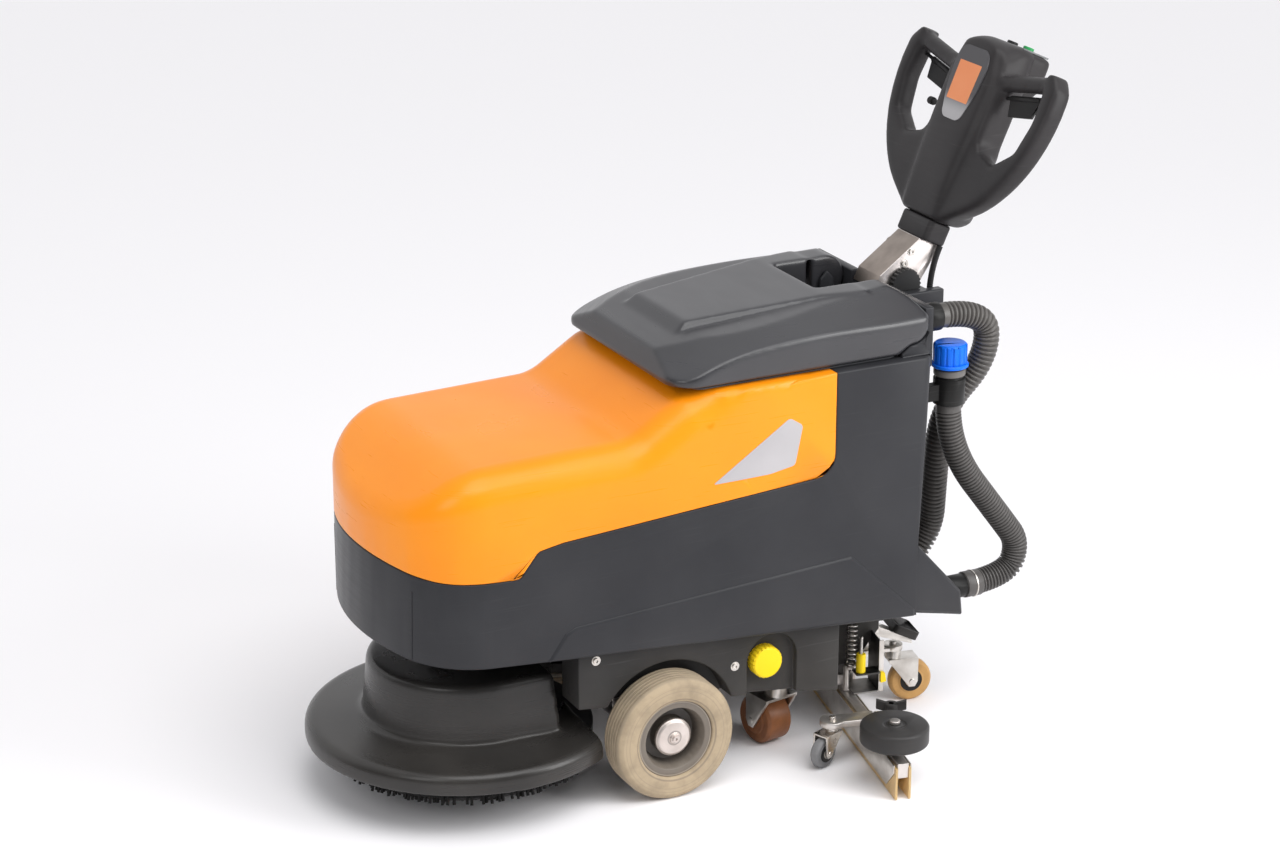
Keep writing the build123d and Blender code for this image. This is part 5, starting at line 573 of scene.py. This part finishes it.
head_work = bmesh.new()
for name in ("head_front_shell", "head_rear_shell"):
    half_shell = bpy.data.meshes.new(name + "_copy")
    half_work = merged_copy(name)
    bmesh.ops.triangulate(half_work, faces=half_work.faces)
    half_work.to_mesh(half_shell)
    half_work.free()
    head_work.from_mesh(half_shell)
head = new_piece("handle_head_skin", [])
head_work.to_mesh(head.data)
head_work.free()
reskinned(head, facet=0.0026)
grip_start, grip_root, grip_top, grip_rise = 84, 64, 246, 0.19
back_half, back_face, back_depth = 78, -12, -52
hump_half, arch_half, hump_foot, hump_back, hump_front = 74, 76, 232, -24, -10
front_half, crown_half, front_face, chin_low, chin_high = 80, 66, 4, -10, 120
for vertex in head.data.vertices:
    off_foot = (vertex.co - head_foot) * 1000.0
    side, up, out = off_foot.y, off_foot.dot(head_up), off_foot.dot(head_out)
    reach = abs(side)
    if reach > grip_start:
        up = min(up, grip_top + grip_rise * (reach - grip_root))
    if reach < back_half and out < back_face:
        out = min(out, max(back_face + (out - back_face) * 2, back_depth))
    hump = shares(out, hump_back, hump_front)
    if reach < hump_half and up > hump_foot and hump > 0:
        arch = math.sqrt(max(1.0 - (reach / arch_half) ** 2, 0.0))
        up = hump_foot + (up - hump_foot) * (1 - hump + hump * arch)
    if reach < front_half and out > front_face:
        hollow = 0.7 * shares(up, chin_high, chin_low) ** 2
        fall = 0.35 * (reach / crown_half) ** 4
        out = front_face + (out - front_face) * (1 - hollow) * (1 - fall)
    vertex.co = head_spot(side, up, out)
flowed(head, passes=60)
head.data.materials.clear()
head.data.materials.append(handle_plastic)
in_place_of(head, "head_front_shell", "head_rear_shell")


# Head trim: a bare grey plate in front with a plain orange field, keys on a small panel
# behind, triggers behind the grips and the water dosing lever.
def painted_height_fade(finish, low, high, colour):
    """Paints light or shade on a finish: it runs into another colour between two heights in mm."""
    tree = finish.node_tree
    skin = tree.nodes["Principled BSDF"]
    where = added(tree, "ShaderNodeTexCoord").outputs["Object"]
    height = added(tree, "ShaderNodeSeparateXYZ", {0: where}).outputs["Z"]
    share = ranged(tree, height, low / 1000.0, high / 1000.0, run="SMOOTHSTEP")
    under = skin.inputs["Base Color"].links[0].from_socket
    fed(tree, skin, {"Base Color": tinted(tree, share, under, colour)})


label_grey = moulded("label_grey", (0.40, 0.39, 0.40), (0.45, 0.44, 0.45), 0.34, bump=0.04, scratch=0.1)
# the plate darkens towards its top as a painted reflection
painted_height_fade(label_grey, 966, 1000, (0.085, 0.083, 0.088))
panel_grey = moulded("panel_grey", (0.20, 0.205, 0.21), (0.24, 0.245, 0.25), 0.42, bump=0.06)
power_green = moulded("power_green", (0.03, 0.30, 0.09), (0.04, 0.36, 0.12), 0.34, bump=0.05)
field_orange = moulded("field_orange", (0.80, 0.27, 0.11), (0.84, 0.31, 0.14), 0.34, bump=0.03, scratch=0.1)
rounded(["control_panel"], panel_grey, 0.6)
rounded(["power_button"], power_green, 0.5)
rounded(["suction_button"], black_plastic, 0.5)
rounded(["trigger_left", "trigger_right", "dosing_lever"], black_plastic, 1.2)
shield = [(-24, 148), (24, 148), (42, 200), (45, 246), (34, 268), (-34, 268), (-45, 246), (-42, 200)]
shield_outline = [head_spot(side, up, 13.5) for side, up in shield]
head_plate = plate("head_plate", shield_outline, head_out, 3.8, label_grey, 11.0)
in_place_of(head_plate, "label_panel")
field = [(-29, 178), (29, 178), (31, 242), (-31, 242)]
field_outline = [head_spot(side, up, 17.0) for side, up in field]
head_field = plate("head_field", field_outline, head_out, 0.55, field_orange, 1.5, 0.15)
extra_on(head_field, "handle")


# Hoses: corrugated flexible hose of about 40 mm over the ribs. One runs from the console
# port to a clip on the swing arm, one from there to the squeegee, and one is the drain.
def started_tree(name, start, sizes, place=None):
    """A new tree and its inputs: what it starts from, its named sizes, a place at times, and a finish."""
    tree = bpy.data.node_groups.new(name, "GeometryNodeTree")
    kinds = {start: "Geometry", **{title: "Float" for title in sizes}}
    if place:
        kinds[place] = "Vector"
    kinds["Finish"] = "Material"
    for title, kind in kinds.items():
        socket = tree.interface.new_socket(title, in_out="INPUT", socket_type="NodeSocket" + kind)
        if title in sizes:
            socket.default_value = sizes[title]
    tree.interface.new_socket("Piece", in_out="OUTPUT", socket_type="NodeSocketGeometry")
    return tree, added(tree, "NodeGroupInput").outputs


def ended_tree(tree, given, shape):
    """Ends a tree: copies are made real, the finish is laid on and the result is handed out."""
    whole = added(tree, "GeometryNodeRealizeInstances", {"Geometry": shape}).outputs[0]
    coat = added(tree, "GeometryNodeSetMaterial", {"Geometry": whole, "Material": given["Finish"]})
    added(tree, "NodeGroupOutput", {"Piece": coat.outputs[0]})
    return tree


def ribbed_hose_tree():
    """A tube along a line, with ribs of an even pitch between two plain ends."""
    tree, given = started_tree("ribbed_hose", "Centreline", {
        "Crest": 0.0205, "Valley": 0.0185, "Plain end": 0.041, "Rib pitch": 0.012})

    def sum_of(operation, *terms):
        return maths(tree, operation, *terms)

    line = added(tree, "GeometryNodeMeshToCurve", {"Mesh": given["Centreline"]}).outputs[0]
    step = sum_of("DIVIDE", given["Rib pitch"], 9.0)
    fine = added(tree, "GeometryNodeResampleCurve", {"Curve": line, "Length": step}, mode="LENGTH").outputs[0]
    total = added(tree, "GeometryNodeCurveLength", {0: line}).outputs[0]
    along_hose = added(tree, "GeometryNodeSplineParameter").outputs["Length"]
    ribbed = sum_of("SUBTRACT", total, sum_of("MULTIPLY", given["Plain end"], 2.0))
    count = sum_of("ROUND", sum_of("DIVIDE", ribbed, given["Rib pitch"]))
    from_plain = sum_of("SUBTRACT", along_hose, given["Plain end"])
    turns = sum_of("DIVIDE", sum_of("MULTIPLY", from_plain, count), ribbed)
    wave = sum_of("MULTIPLY", sum_of("COSINE", sum_of("MULTIPLY", turns, math.tau)), -1.0)
    rib = ranged(tree, wave, -0.75, 0.55, run="SMOOTHSTEP")
    past_start = sum_of("GREATER_THAN", from_plain, 0.0)
    inside = sum_of("MULTIPLY", past_start, sum_of("LESS_THAN", from_plain, ribbed))
    rise = sum_of("SUBTRACT", given["Crest"], given["Valley"])
    lift = sum_of("MULTIPLY", sum_of("MULTIPLY", rib, inside), rise)
    cuff = sum_of("MULTIPLY", sum_of("SUBTRACT", 1.0, inside), sum_of("MULTIPLY", rise, 0.8))
    radius = sum_of("ADD", given["Valley"], sum_of("ADD", lift, cuff))
    ring = added(tree, "GeometryNodeCurvePrimitiveCircle", {"Resolution": 36, "Radius": 1.0}).outputs["Curve"]
    tube = added(tree, "GeometryNodeCurveToMesh", {
        "Curve": fine, "Profile Curve": ring, "Scale": radius, "Fill Caps": True}).outputs[0]
    smooth = added(tree, "GeometryNodeSetShadeSmooth", {"Geometry": tube}).outputs[0]
    return ended_tree(tree, given, smooth)


def spline_points(name, route):
    """Points read from a smooth spline that has the route's points as its control points."""
    curve = bpy.data.curves.new(name, "CURVE")
    curve.dimensions = "3D"
    curve.resolution_u = 24
    spline = curve.splines.new("NURBS")
    spline.points.add(len(route) - 1)
    for point, place in zip(spline.points, route):
        point.co = (*place, 1.0)
    spline.order_u = 3
    spline.use_endpoint_u = True
    carrier = set_up(name, curve)
    bpy.context.view_layer.update()
    read = bpy.data.meshes.new_from_object(carrier.evaluated_get(bpy.context.evaluated_depsgraph_get()))
    points = [vertex.co.copy() for vertex in read.vertices]
    bpy.data.objects.remove(carrier)
    return points


def grown(piece, tree, sizes):
    """Runs a tree on a piece with its named inputs set, and keeps the plain mesh."""
    modifier = piece.modifiers.new(tree.name, "NODES")
    modifier.node_group = tree
    for item in tree.interface.items_tree:
        if item.in_out == "INPUT" and item.name in sizes:
            modifier[item.identifier] = sizes[item.name]
    return settled(piece)


def hose_along(name, line, crest, valley, plain, pitch, finish):
    """A ribbed hose or a sheath over a line of points; its sizes are in metres."""
    piece = new_piece(name, line, [(i, i + 1) for i in range(len(line) - 1)])
    return grown(piece, hose_tree, {"Crest": crest, "Valley": valley, "Plain end": plain,
                                    "Rib pitch": pitch, "Finish": finish})


hose_grey = moulded("hose_grey", (0.072, 0.067, 0.063), (0.098, 0.091, 0.085), 0.34,
                    grain=500.0, bump=0.05, shine=0.4)
drain_grey = moulded("drain_grey", (0.075, 0.071, 0.068), (0.10, 0.094, 0.09), 0.38,
                     grain=500.0, bump=0.05, shine=0.3)
hose_tree = ribbed_hose_tree()
hose_crest = 0.0205
clip_joint = spot(-495.6, 57.2, 222.0)
before_clip = spot(-562.7, 47.4, 264.4)
hose_routes = {
    "suction_hose": [spot(-498, 150, 686), spot(-588, 150, 686), spot(-594, 145, 600), spot(-541, 100, 508),
                     spot(-547, 80, 385), before_clip, clip_joint],
    "squeegee_hose": [clip_joint, spot(-381.7, 73.8, 150), spot(-381.7, 73.8, 78)],
    "drain_hose": [spot(-523, 150, 538), spot(-523, 150, 464), spot(-632, 150, 322), spot(-666, 150, 276),
                   spot(-646, 150, 220), spot(-562, 150, 220)],
}
hose_makes = {
    "suction_hose": (0.016, 0.012, 0.0076, hose_grey),
    "squeegee_hose": (0.016, 0.034, 0.0076, hose_grey),
    "drain_hose": (0.0168, 0.012, 0.006, drain_grey),
}
hose_lines = {name: spline_points(name + "_line", route) for name, route in hose_routes.items()}
hoses = {}
for name, (valley, plain, pitch, finish) in hose_makes.items():
    hose = hose_along(name + "_ribbed", hose_lines[name], hose_crest, valley, plain, pitch, finish)
    hoses[name] = hose
    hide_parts(name)
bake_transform(hoses["suction_hose"])
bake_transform(hoses["squeegee_hose"])
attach(hoses["drain_hose"], "chassis")


# Hose fittings: the port cuff, the clip that holds the drain hose's collar upright on the
# tower, the drain stub on the foot, and the blue screw cap that closes the collar. The yellow
# cap of the water filter, on the machine's side, is moulded in the same way.
def lathed(name, profile, centre, axis, finish, turns=64):
    """A closed ring turned from a profile of radius and height in millimetres about an axis."""
    steer = axis.to_track_quat("Z", "Y").to_matrix()
    points, faces, count = [], [], len(profile)
    for turn in range(turns):
        angle = math.tau * turn / turns
        for radius, height in profile:
            flat = Vector((radius * math.cos(angle), radius * math.sin(angle), height)) / 1000.0
            points.append(centre + steer @ flat)
        for i in range(count):
            here, ahead = turn * count, (turn + 1) % turns * count
            faces.append((here + i, ahead + i, ahead + (i + 1) % count, here + (i + 1) % count))
    piece = new_piece(name, points, (), faces)
    work = bmesh.new()
    work.from_mesh(piece.data)
    bmesh.ops.recalc_face_normals(work, faces=work.faces)
    work.to_mesh(piece.data)
    work.free()
    piece.data.shade_smooth()
    piece.data.set_sharp_from_angle(angle=math.radians(35))
    piece.data.materials.append(finish)
    return piece


fitting_grey = moulded("fitting_grey", (0.008, 0.008, 0.008), (0.014, 0.0135, 0.013), 0.4)
collar_grey = moulded("collar_grey", (0.125, 0.118, 0.112), (0.16, 0.15, 0.142), 0.42)
cap_blue = moulded("cap_blue", (0.006, 0.145, 0.80), (0.010, 0.17, 0.86), 0.34, bump=0.05, scratch=0.15)
cap_yellow = moulded("cap_yellow", (0.88, 0.62, 0.012), (0.91, 0.66, 0.02), 0.34, bump=0.05, scratch=0.15)
rounded(["hose_fittings"], fitting_grey, 1.0)
rounded(["drain_cap"], cap_blue, 0.8)
rounded(["filter_cap"], cap_yellow, 0.8)
upward, forward = Vector((0, 0, 1)), Vector((1, 0, 0))
collar_profile = [(21.9, 0), (24.6, 1), (25.4, 3), (25.4, 9), (24.6, 11), (21.9, 12)]
collar_ring = lathed("drain_collar_ring", collar_profile, spot(-523, 150, 586), upward, collar_grey)
extra_on(collar_ring, "chassis")
cuff_profile = [(20.0, 0), (21.0, 0.5), (21.4, 1.5), (21.4, 28), (21.0, 29), (20.0, 29.5)]
foot_cuff = lathed("drain_foot_cuff", cuff_profile, spot(-592, 150, 220), forward, drain_grey)
extra_on(foot_cuff, "chassis")
flange_profile = [(20, 0), (28.4, 0), (29.6, 1.2), (29.6, 4.6), (28.4, 6), (20, 6)]
cap_flange = lathed("drain_cap_flange", flange_profile, spot(-523, 150, 600.6), upward, cap_blue)
extra_on(cap_flange, body_of["drain_cap"])
clamp_profile = [(20.3, -1.4), (21.9, -1.4), (22.4, -0.9), (22.4, 0.9), (21.9, 1.4), (20.3, 1.4)]
clamp_wire = lathed("drain_hose_clamp", clamp_profile, spot(-579, 150, 220), forward, plated_steel)
extra_on(clamp_wire, "chassis")


# Handle cable: the sheathed lead from the head's sleeve down into the console, ten
# millimetres thick and slack enough for the handle to tilt.
cable_route = [spot(-568.0, 39, 760.3), spot(-551, 39, 722.7), spot(-551, 39, 684)]
cable_line = spline_points("control_cable_line", cable_route)
cable = hose_along("control_cable_sheath", cable_line, 0.005, 0.0047, 0.006, 0.003, black_plastic)
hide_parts("control_cable")
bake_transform(cable)


# Brush deck: a black domed shroud with a wide brim, hung on two pairs of lift arms, with
# the brush motor on top.
deck_black = moulded("deck_black", (0.0115, 0.011, 0.011), (0.019, 0.018, 0.0175), 0.28,
                     dust=0.15, scratch=0.1, shine=0.4)
moulded_skin("deck_shroud_moulded", "deck_shroud", facet=0.0028, passes=36, kept=0.45, finish=deck_black)
rounded(["lift_arm_lower", "lift_arm_upper"], chassis_black, 0.6)
rounded(["brush_motor"], motor_metal, 1.0)


# Brush: a turned plastic disc that hangs from the motor's coupling, drilled all over its outer
# ring and filled with tufts of dark nylon that lean outwards a little more toward the rim. A
# dark core stands for the tufts that are packed between, and darkens the space under the brim
# as painted shade.
def bristle_tree():
    """Tufts planted over a ring of the disc's foot, each hanging down and leaning outwards."""
    tree, given = started_tree("brush_tufts", "Disc foot", {
        "Spacing": 0.0085, "Tuft length": 0.038, "Root radius": 0.0026, "Tip radius": 0.0036}, "Middle")
    holes = added(tree, "GeometryNodeDistributePointsOnFaces", {
        "Mesh": given["Disc foot"], "Distance Min": given["Spacing"], "Density Max": 30000.0, "Seed": 7},
        distribute_method="POISSON").outputs["Points"]
    tuft = added(tree, "GeometryNodeMeshCone", {
        "Vertices": 6, "Radius Top": given["Root radius"], "Radius Bottom": given["Tip radius"],
        "Depth": given["Tuft length"]}).outputs["Mesh"]
    length = maths(tree, "MULTIPLY", given["Tuft length"], -1.0)
    drop = added(tree, "ShaderNodeCombineXYZ", {"Z": length}).outputs[0]
    hung = added(tree, "GeometryNodeTransform", {"Geometry": tuft, "Translation": drop}).outputs[0]
    place = added(tree, "GeometryNodeInputPosition").outputs[0]
    away = vectors(tree, "SUBTRACT", place, given["Middle"])
    stray = added(tree, "FunctionNodeRandomValue", {
        "Min": (-0.05, -0.05, 0.0), "Max": (0.05, 0.05, 0.0), "Seed": 11},
        data_type="FLOAT_VECTOR").outputs[0]
    lean = maths(tree, "MULTIPLY", maths(tree, "POWER", vectors(tree, "LENGTH", away), 3.0), 210.0)
    outward = added(tree, "ShaderNodeVectorMath", {0: away, "Scale": lean}, operation="SCALE").outputs[0]
    down = vectors(tree, "SUBTRACT", (0.0, 0.0, 1.0), vectors(tree, "ADD", outward, stray))
    steer = added(tree, "FunctionNodeAlignRotationToVector", {"Vector": down}, axis="Z").outputs[0]
    planted = added(tree, "GeometryNodeInstanceOnPoints", {
        "Points": holes, "Instance": hung, "Rotation": steer}).outputs[0]
    return ended_tree(tree, given, planted)


brush_nylon = moulded("brush_nylon", (0.009, 0.0085, 0.0085), (0.016, 0.0155, 0.015), 0.6)
brush_disc_plastic = moulded("brush_disc_plastic", (0.10, 0.10, 0.105), (0.13, 0.13, 0.135), 0.5)
brush_low, brush_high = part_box("disc_brush")
brush_middle = Vector(((brush_low.x + brush_high.x) / 2, (brush_low.y + brush_high.y) / 2, 0.0))
disc_profile = [(11.5, 97), (11.5, 150), (48, 150), (48, 107), (62, 93), (192, 93), (200, 89), (200, 78),
                (11.5, 78)]
brush_disc = lathed("brush_disc", disc_profile, brush_middle, upward, brush_disc_plastic, 96)
in_place_of(brush_disc, "disc_brush")
# the dark core is partly the packed tufts and partly painted shade under the brim
core_profile = [(84, 79), (193, 79), (198, 52), (190, 44.5), (100, 44.5), (84, 50)]
tuft_core = lathed("brush_tuft_core_and_shade", core_profile, brush_middle, upward, brush_nylon, 96)
in_place_of(tuft_core, "disc_brush")
tuft_inner, tuft_outer, tuft_root, ring_parts = 0.080, 0.194, 0.079, 72
ring_points, ring_faces = [], []
for turn in range(ring_parts):
    angle = math.tau * turn / ring_parts
    for radius in (tuft_inner, tuft_outer):
        rim = Vector((radius * math.cos(angle), radius * math.sin(angle), tuft_root))
        ring_points.append(brush_middle + rim)
    here, ahead = 2 * turn, 2 * ((turn + 1) % ring_parts)
    ring_faces.append((here, ahead, ahead + 1, here + 1))
tufts = new_piece("brush_tufts", ring_points, (), ring_faces)
grown(tufts, bristle_tree(), {
    "Spacing": 0.0048, "Tuft length": 0.0375, "Root radius": 0.0018, "Tip radius": 0.0026,
    "Middle": (brush_middle.x, brush_middle.y, tuft_root), "Finish": brush_nylon})
in_place_of(tufts, "disc_brush")


# Squeegee: a swing arm behind the castors tows a cast bar with two amber blades held by
# steel clamps, with bumper rollers, guide castors and a foot pedal that lifts it.
wheel_amber = rubber("wheel_amber", (0.50, 0.285, 0.10), (0.37, 0.205, 0.07), 0.42)
arm_paint = moulded("arm_paint", (0.030, 0.029, 0.029), (0.045, 0.043, 0.041), 0.42, dust=0.2)
polished_steel = metal("polished_steel", (0.78, 0.74, 0.69), (0.60, 0.56, 0.51), 0.24, 60.0, drawn, 0.05)
small_wheel_grey = rubber("small_wheel_grey", (0.22, 0.22, 0.225), (0.15, 0.15, 0.155), 0.6)
bumper_grey = moulded("bumper_grey", (0.032, 0.031, 0.031), (0.046, 0.044, 0.043), 0.4)
rounded(["swing_arm"], arm_paint, 0.6)
rounded(["rear_bracket", "pedal_arm", "rear_castor_fork", "blade_clamps"], plated_steel, 0.6)
rounded(["squeegee_body"], cast_silver, 1.0)
rounded(["rear_castor_wheel"], wheel_amber, 1.0)
rounded(["small_castor_fork_left", "small_castor_fork_right"], polished_steel, 0.7)
rounded(["small_castor_wheel_left", "small_castor_wheel_right"], small_wheel_grey, 0.8)
rounded(["bumper_roller_left", "bumper_roller_right"], bumper_grey, 2.0, 3)
rounded(["wing_knob_left", "wing_knob_right", "pedal_pad"], black_plastic, 1.0)


# Blades: two strips of amber urethane, cast flat and cut to length, that the clamps press
# into the bar. Their upper edges sit a little lower than the clamps'.
blade_amber = rubber("blade_amber", (0.86, 0.62, 0.30), (0.76, 0.52, 0.22), 0.34, 0.4)
blades = new_piece("blade_pair", [])
blade_work = merged_copy("squeegee_blades")
blade_crest = max(point.co.z for point in blade_work.verts)
crest_band, crest_drop = 0.004, 0.005
for point in blade_work.verts:
    if point.co.z > blade_crest - crest_band:
        point.co.z -= crest_drop
blade_work.to_mesh(blades.data)
blade_work.free()
blades.data.materials.append(blade_amber)
in_place_of(blades, "squeegee_blades")


# Small wheels' faces: a dark bearing seal and a bright hub of plated steel, both pressed
# into each side of the squeegee's three castor wheels.
joint_of = {joint["name"]: joint for joint in frame["record"]["behaviour"]["joints"]}
seal_black = moulded("seal_black", (0.012, 0.012, 0.012), (0.02, 0.0195, 0.019), 0.45)
for wheel, joint, seal, hub in (
        ("rear_castor_wheel", "rear_castor_spin", (10.5, 19.0), (4.0, 10.0)),
        ("small_castor_wheel_left", "left_small_spin", (9.0, 15.0), (3.0, 8.5)),
        ("small_castor_wheel_right", "right_small_spin", (9.0, 15.0), (3.0, 8.5))):
    middle = Vector(joint_of[joint]["pos_m"])
    for face, turn in (("near", 1), ("far", -1)):
        axis = Vector(joint_of[joint]["axis"]).normalized() * turn
        half = max((point.co - middle).dot(axis) for point in nodes[wheel].data.vertices) * 1000.0
        for part, (inner, outer), finish in (("seal", seal, seal_black), ("hub", hub, plated_steel)):
            pressed = [(inner, half - 1.5), (inner, half + 0.3), (outer - 0.4, half + 0.3),
                       (outer, half - 0.1), (outer, half - 1.5)]
            ring = lathed("_".join((wheel, part, face)), pressed, middle, axis, finish, 32)
            extra_on(ring, body_of[wheel])


# Stop sheet: folded steel that stands on a foot behind the bar, with a bright cut edge, a
# yellow sleeve on its pin before it and a yellow cap behind, all bolted to the squeegee.
along = Vector(joint_of["squeegee_lift"]["axis"]).normalized()
back = Vector((-along.y, along.x, 0.0))
# the web's darker steel is painted shade; the shelf is given the same steel
shaded_sheet_steel = metal("shaded_sheet_steel", (0.10, 0.098, 0.094), (0.065, 0.063, 0.06), 0.42, 60.0, drawn, 0.05)
sheet_steel = metal("sheet_steel", (0.33, 0.32, 0.31), (0.22, 0.215, 0.205), 0.4, 60.0, drawn, 0.05)


def at_sheet(behind, left, up):
    """A place by the stop sheet, in millimetres behind and left of its bright edge and above the floor."""
    return spot(-407, 152, up) + (back * behind + along * left) / 1000.0


for name, corners, way, thick, finish, corner in (
        ("stop_sheet_web", [(0, 0, 65), (0, 0, 154), (0, -52, 154), (0, -52, 65)],
         back, 2.0, shaded_sheet_steel, 3.0),
        ("stop_sheet_flange", [(0, 0, 65), (0, 0, 154), (8, 0, 154), (8, 0, 65)],
         along, 1.6, plated_steel, 1.0),
        ("stop_foot", [(0, 0, 63), (0, -52, 63), (-42, -52, 63), (-42, 0, 63)],
         upward, 2.5, sheet_steel, 3.0),
        ("stop_shelf", [(0, 12, 100.3), (0, -14, 100.3), (-41, -14, 100.3), (-41, 12, 100.3)],
         upward, 2.5, shaded_sheet_steel, 3.0)):
    sheet = plate(name, [at_sheet(*place) for place in corners], way, thick, finish, corner)
    extra_on(sheet, "squeegee")
sleeve_foot = at_sheet(-31, 2, 102.8)
sleeve_profile = [(3, 0), (3, 32), (7.0, 32), (7.8, 31), (7.8, 1), (7.0, 0)]
sleeve = lathed("stop_sleeve", sleeve_profile, sleeve_foot, upward, cap_yellow, 32)
extra_on(sleeve, "squeegee")
pin_profile = [(0.2, -4), (0.2, 61), (2.2, 61), (2.8, 60), (2.8, -4)]
pin = lathed("stop_pin", pin_profile, sleeve_foot, upward, plated_steel, 20)
extra_on(pin, "squeegee")
cap_outline = [at_sheet(2, 0, 81), at_sheet(2, 0, 100), at_sheet(9, 0, 99), at_sheet(12, 0, 83)]
cap = plate("stop_cap", cap_outline, along, 6.0, cap_yellow, 1.5, 0.6)
extra_on(cap, "squeegee")


# Lift spring: a coil of plated wire that takes the squeegee's weight when the pedal raises
# it, hooked between the swing arm and the bar.
def coil_tree():
    """A wire wound on its seat, as a helix of an even pitch."""
    tree, given = started_tree("lift_coil", "Seat", {
        "Turns": 8.0, "Coil radius": 0.008, "Height": 0.066, "Wire radius": 0.0015}, "Foot")
    helix = added(tree, "GeometryNodeCurveSpiral", {
        "Resolution": 28, "Rotations": given["Turns"], "Start Radius": given["Coil radius"],
        "End Radius": given["Coil radius"], "Height": given["Height"]}).outputs[0]
    section = added(tree, "GeometryNodeCurvePrimitiveCircle", {
        "Resolution": 12, "Radius": given["Wire radius"]}).outputs["Curve"]
    wire = added(tree, "GeometryNodeCurveToMesh", {
        "Curve": helix, "Profile Curve": section, "Fill Caps": True}).outputs[0]
    stood = added(tree, "GeometryNodeTransform", {"Geometry": wire, "Translation": given["Foot"]}).outputs[0]
    smooth = added(tree, "GeometryNodeSetShadeSmooth", {"Geometry": stood}).outputs[0]
    both = added(tree, "GeometryNodeJoinGeometry")
    for part in (given["Seat"], smooth):
        tree.links.new(part, both.inputs[0])
    return ended_tree(tree, given, both.outputs[0])


spring_low, spring_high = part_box("lift_spring")
spring_x, spring_y = (spring_low.x + spring_high.x) / 2, (spring_low.y + spring_high.y) / 2
spring_seat = Vector((spring_x, spring_y, spring_low.z))
seat_profile = [(3, 0), (9.3, 0), (9.3, 2.4), (3, 2.4)]
spring = lathed("lift_spring_coil", seat_profile, spring_seat, upward, plated_steel, 32)
grown(spring, coil_tree(), {
    "Turns": 8.0, "Coil radius": 0.0078, "Height": 0.0655, "Wire radius": 0.0015,
    "Foot": (spring_x, spring_y, spring_low.z + 0.006), "Finish": plated_steel})
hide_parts("lift_spring")
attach(spring, "squeegee_swing")
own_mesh(spring)


# Fasteners: hexagon socket screws of plated steel on plain washers, in the chassis side,
# the hub caps and the column casting.
def socket_screw_tree():
    """A bored head on a washer at each place, turned to face the way that the place is marked with."""
    tree, given = started_tree("socket_screws", "Places", {
        "Head radius": 0.005, "Head height": 0.003, "Washer radius": 0.008, "Socket radius": 0.0026})

    def turned_pin(sides, radius, depth, lift):
        pin = added(tree, "GeometryNodeMeshCylinder", {
            "Vertices": sides, "Radius": given[radius], "Depth": given["Head height"]}).outputs["Mesh"]
        rise = maths(tree, "MULTIPLY", given["Head height"], lift)
        up = added(tree, "ShaderNodeCombineXYZ", {"Z": rise}).outputs[0]
        return added(tree, "GeometryNodeTransform", {
            "Geometry": pin, "Translation": up, "Scale": (1.0, 1.0, depth)}).outputs[0]

    head_pin = turned_pin(24, "Head radius", 1.0, 0.5)
    socket_pin = turned_pin(6, "Socket radius", 1.0, 0.9)
    washer = turned_pin(24, "Washer radius", 0.3, 0.05)
    bored = added(tree, "GeometryNodeMeshBoolean", {"Mesh 1": head_pin, "Mesh 2": socket_pin},
                  operation="DIFFERENCE").outputs["Mesh"]
    screw = added(tree, "GeometryNodeJoinGeometry")
    for part in (bored, washer):
        tree.links.new(part, screw.inputs[0])
    marked = added(tree, "GeometryNodeInputNamedAttribute", {"Name": "facing"}, data_type="FLOAT_VECTOR")
    way = marked.outputs["Attribute"]
    steer = added(tree, "FunctionNodeAlignRotationToVector", {"Vector": way}, axis="Z").outputs[0]
    driven = added(tree, "GeometryNodeInstanceOnPoints", {
        "Points": given["Places"], "Instance": screw.outputs[0], "Rotation": steer}).outputs[0]
    return ended_tree(tree, given, driven)


screw_tree = socket_screw_tree()


def screws(name, body, places, head_radius, finish):
    """Screws on one body; each place is a point and the direction that its head faces."""
    piece = new_piece(name, [place for place, way in places])
    way_of = piece.data.attributes.new("facing", "FLOAT_VECTOR", "POINT")
    for item, (place, way) in zip(way_of.data, places):
        item.vector = way
    grown(piece, screw_tree, {
        "Head radius": head_radius, "Head height": head_radius * 0.6, "Washer radius": head_radius * 1.5,
        "Socket radius": head_radius * 0.5, "Finish": finish})
    extra_on(piece, body)


screw_radius = 0.005
for name, body, on_side in (("chassis_screws", "chassis", [(120.6, 200, 243.1), (-118, 200, 186)]),
                            ("column_screws", "handle", [(-506, 33, 738), (-519, 33, 756)])):
    places = [(spot(ahead, hand * left, up), Vector((0, hand, 0)))
              for ahead, left, up in on_side for side, hand in hands]
    screws(name, body, places, screw_radius, plated_steel)
for side, hand in hands:
    hub_place = (spot(0, hand * 229, 100), Vector((0, hand, 0)))
    screws("hub_screw_" + side, side + "_wheel", [hub_place], screw_radius, cap_silver)
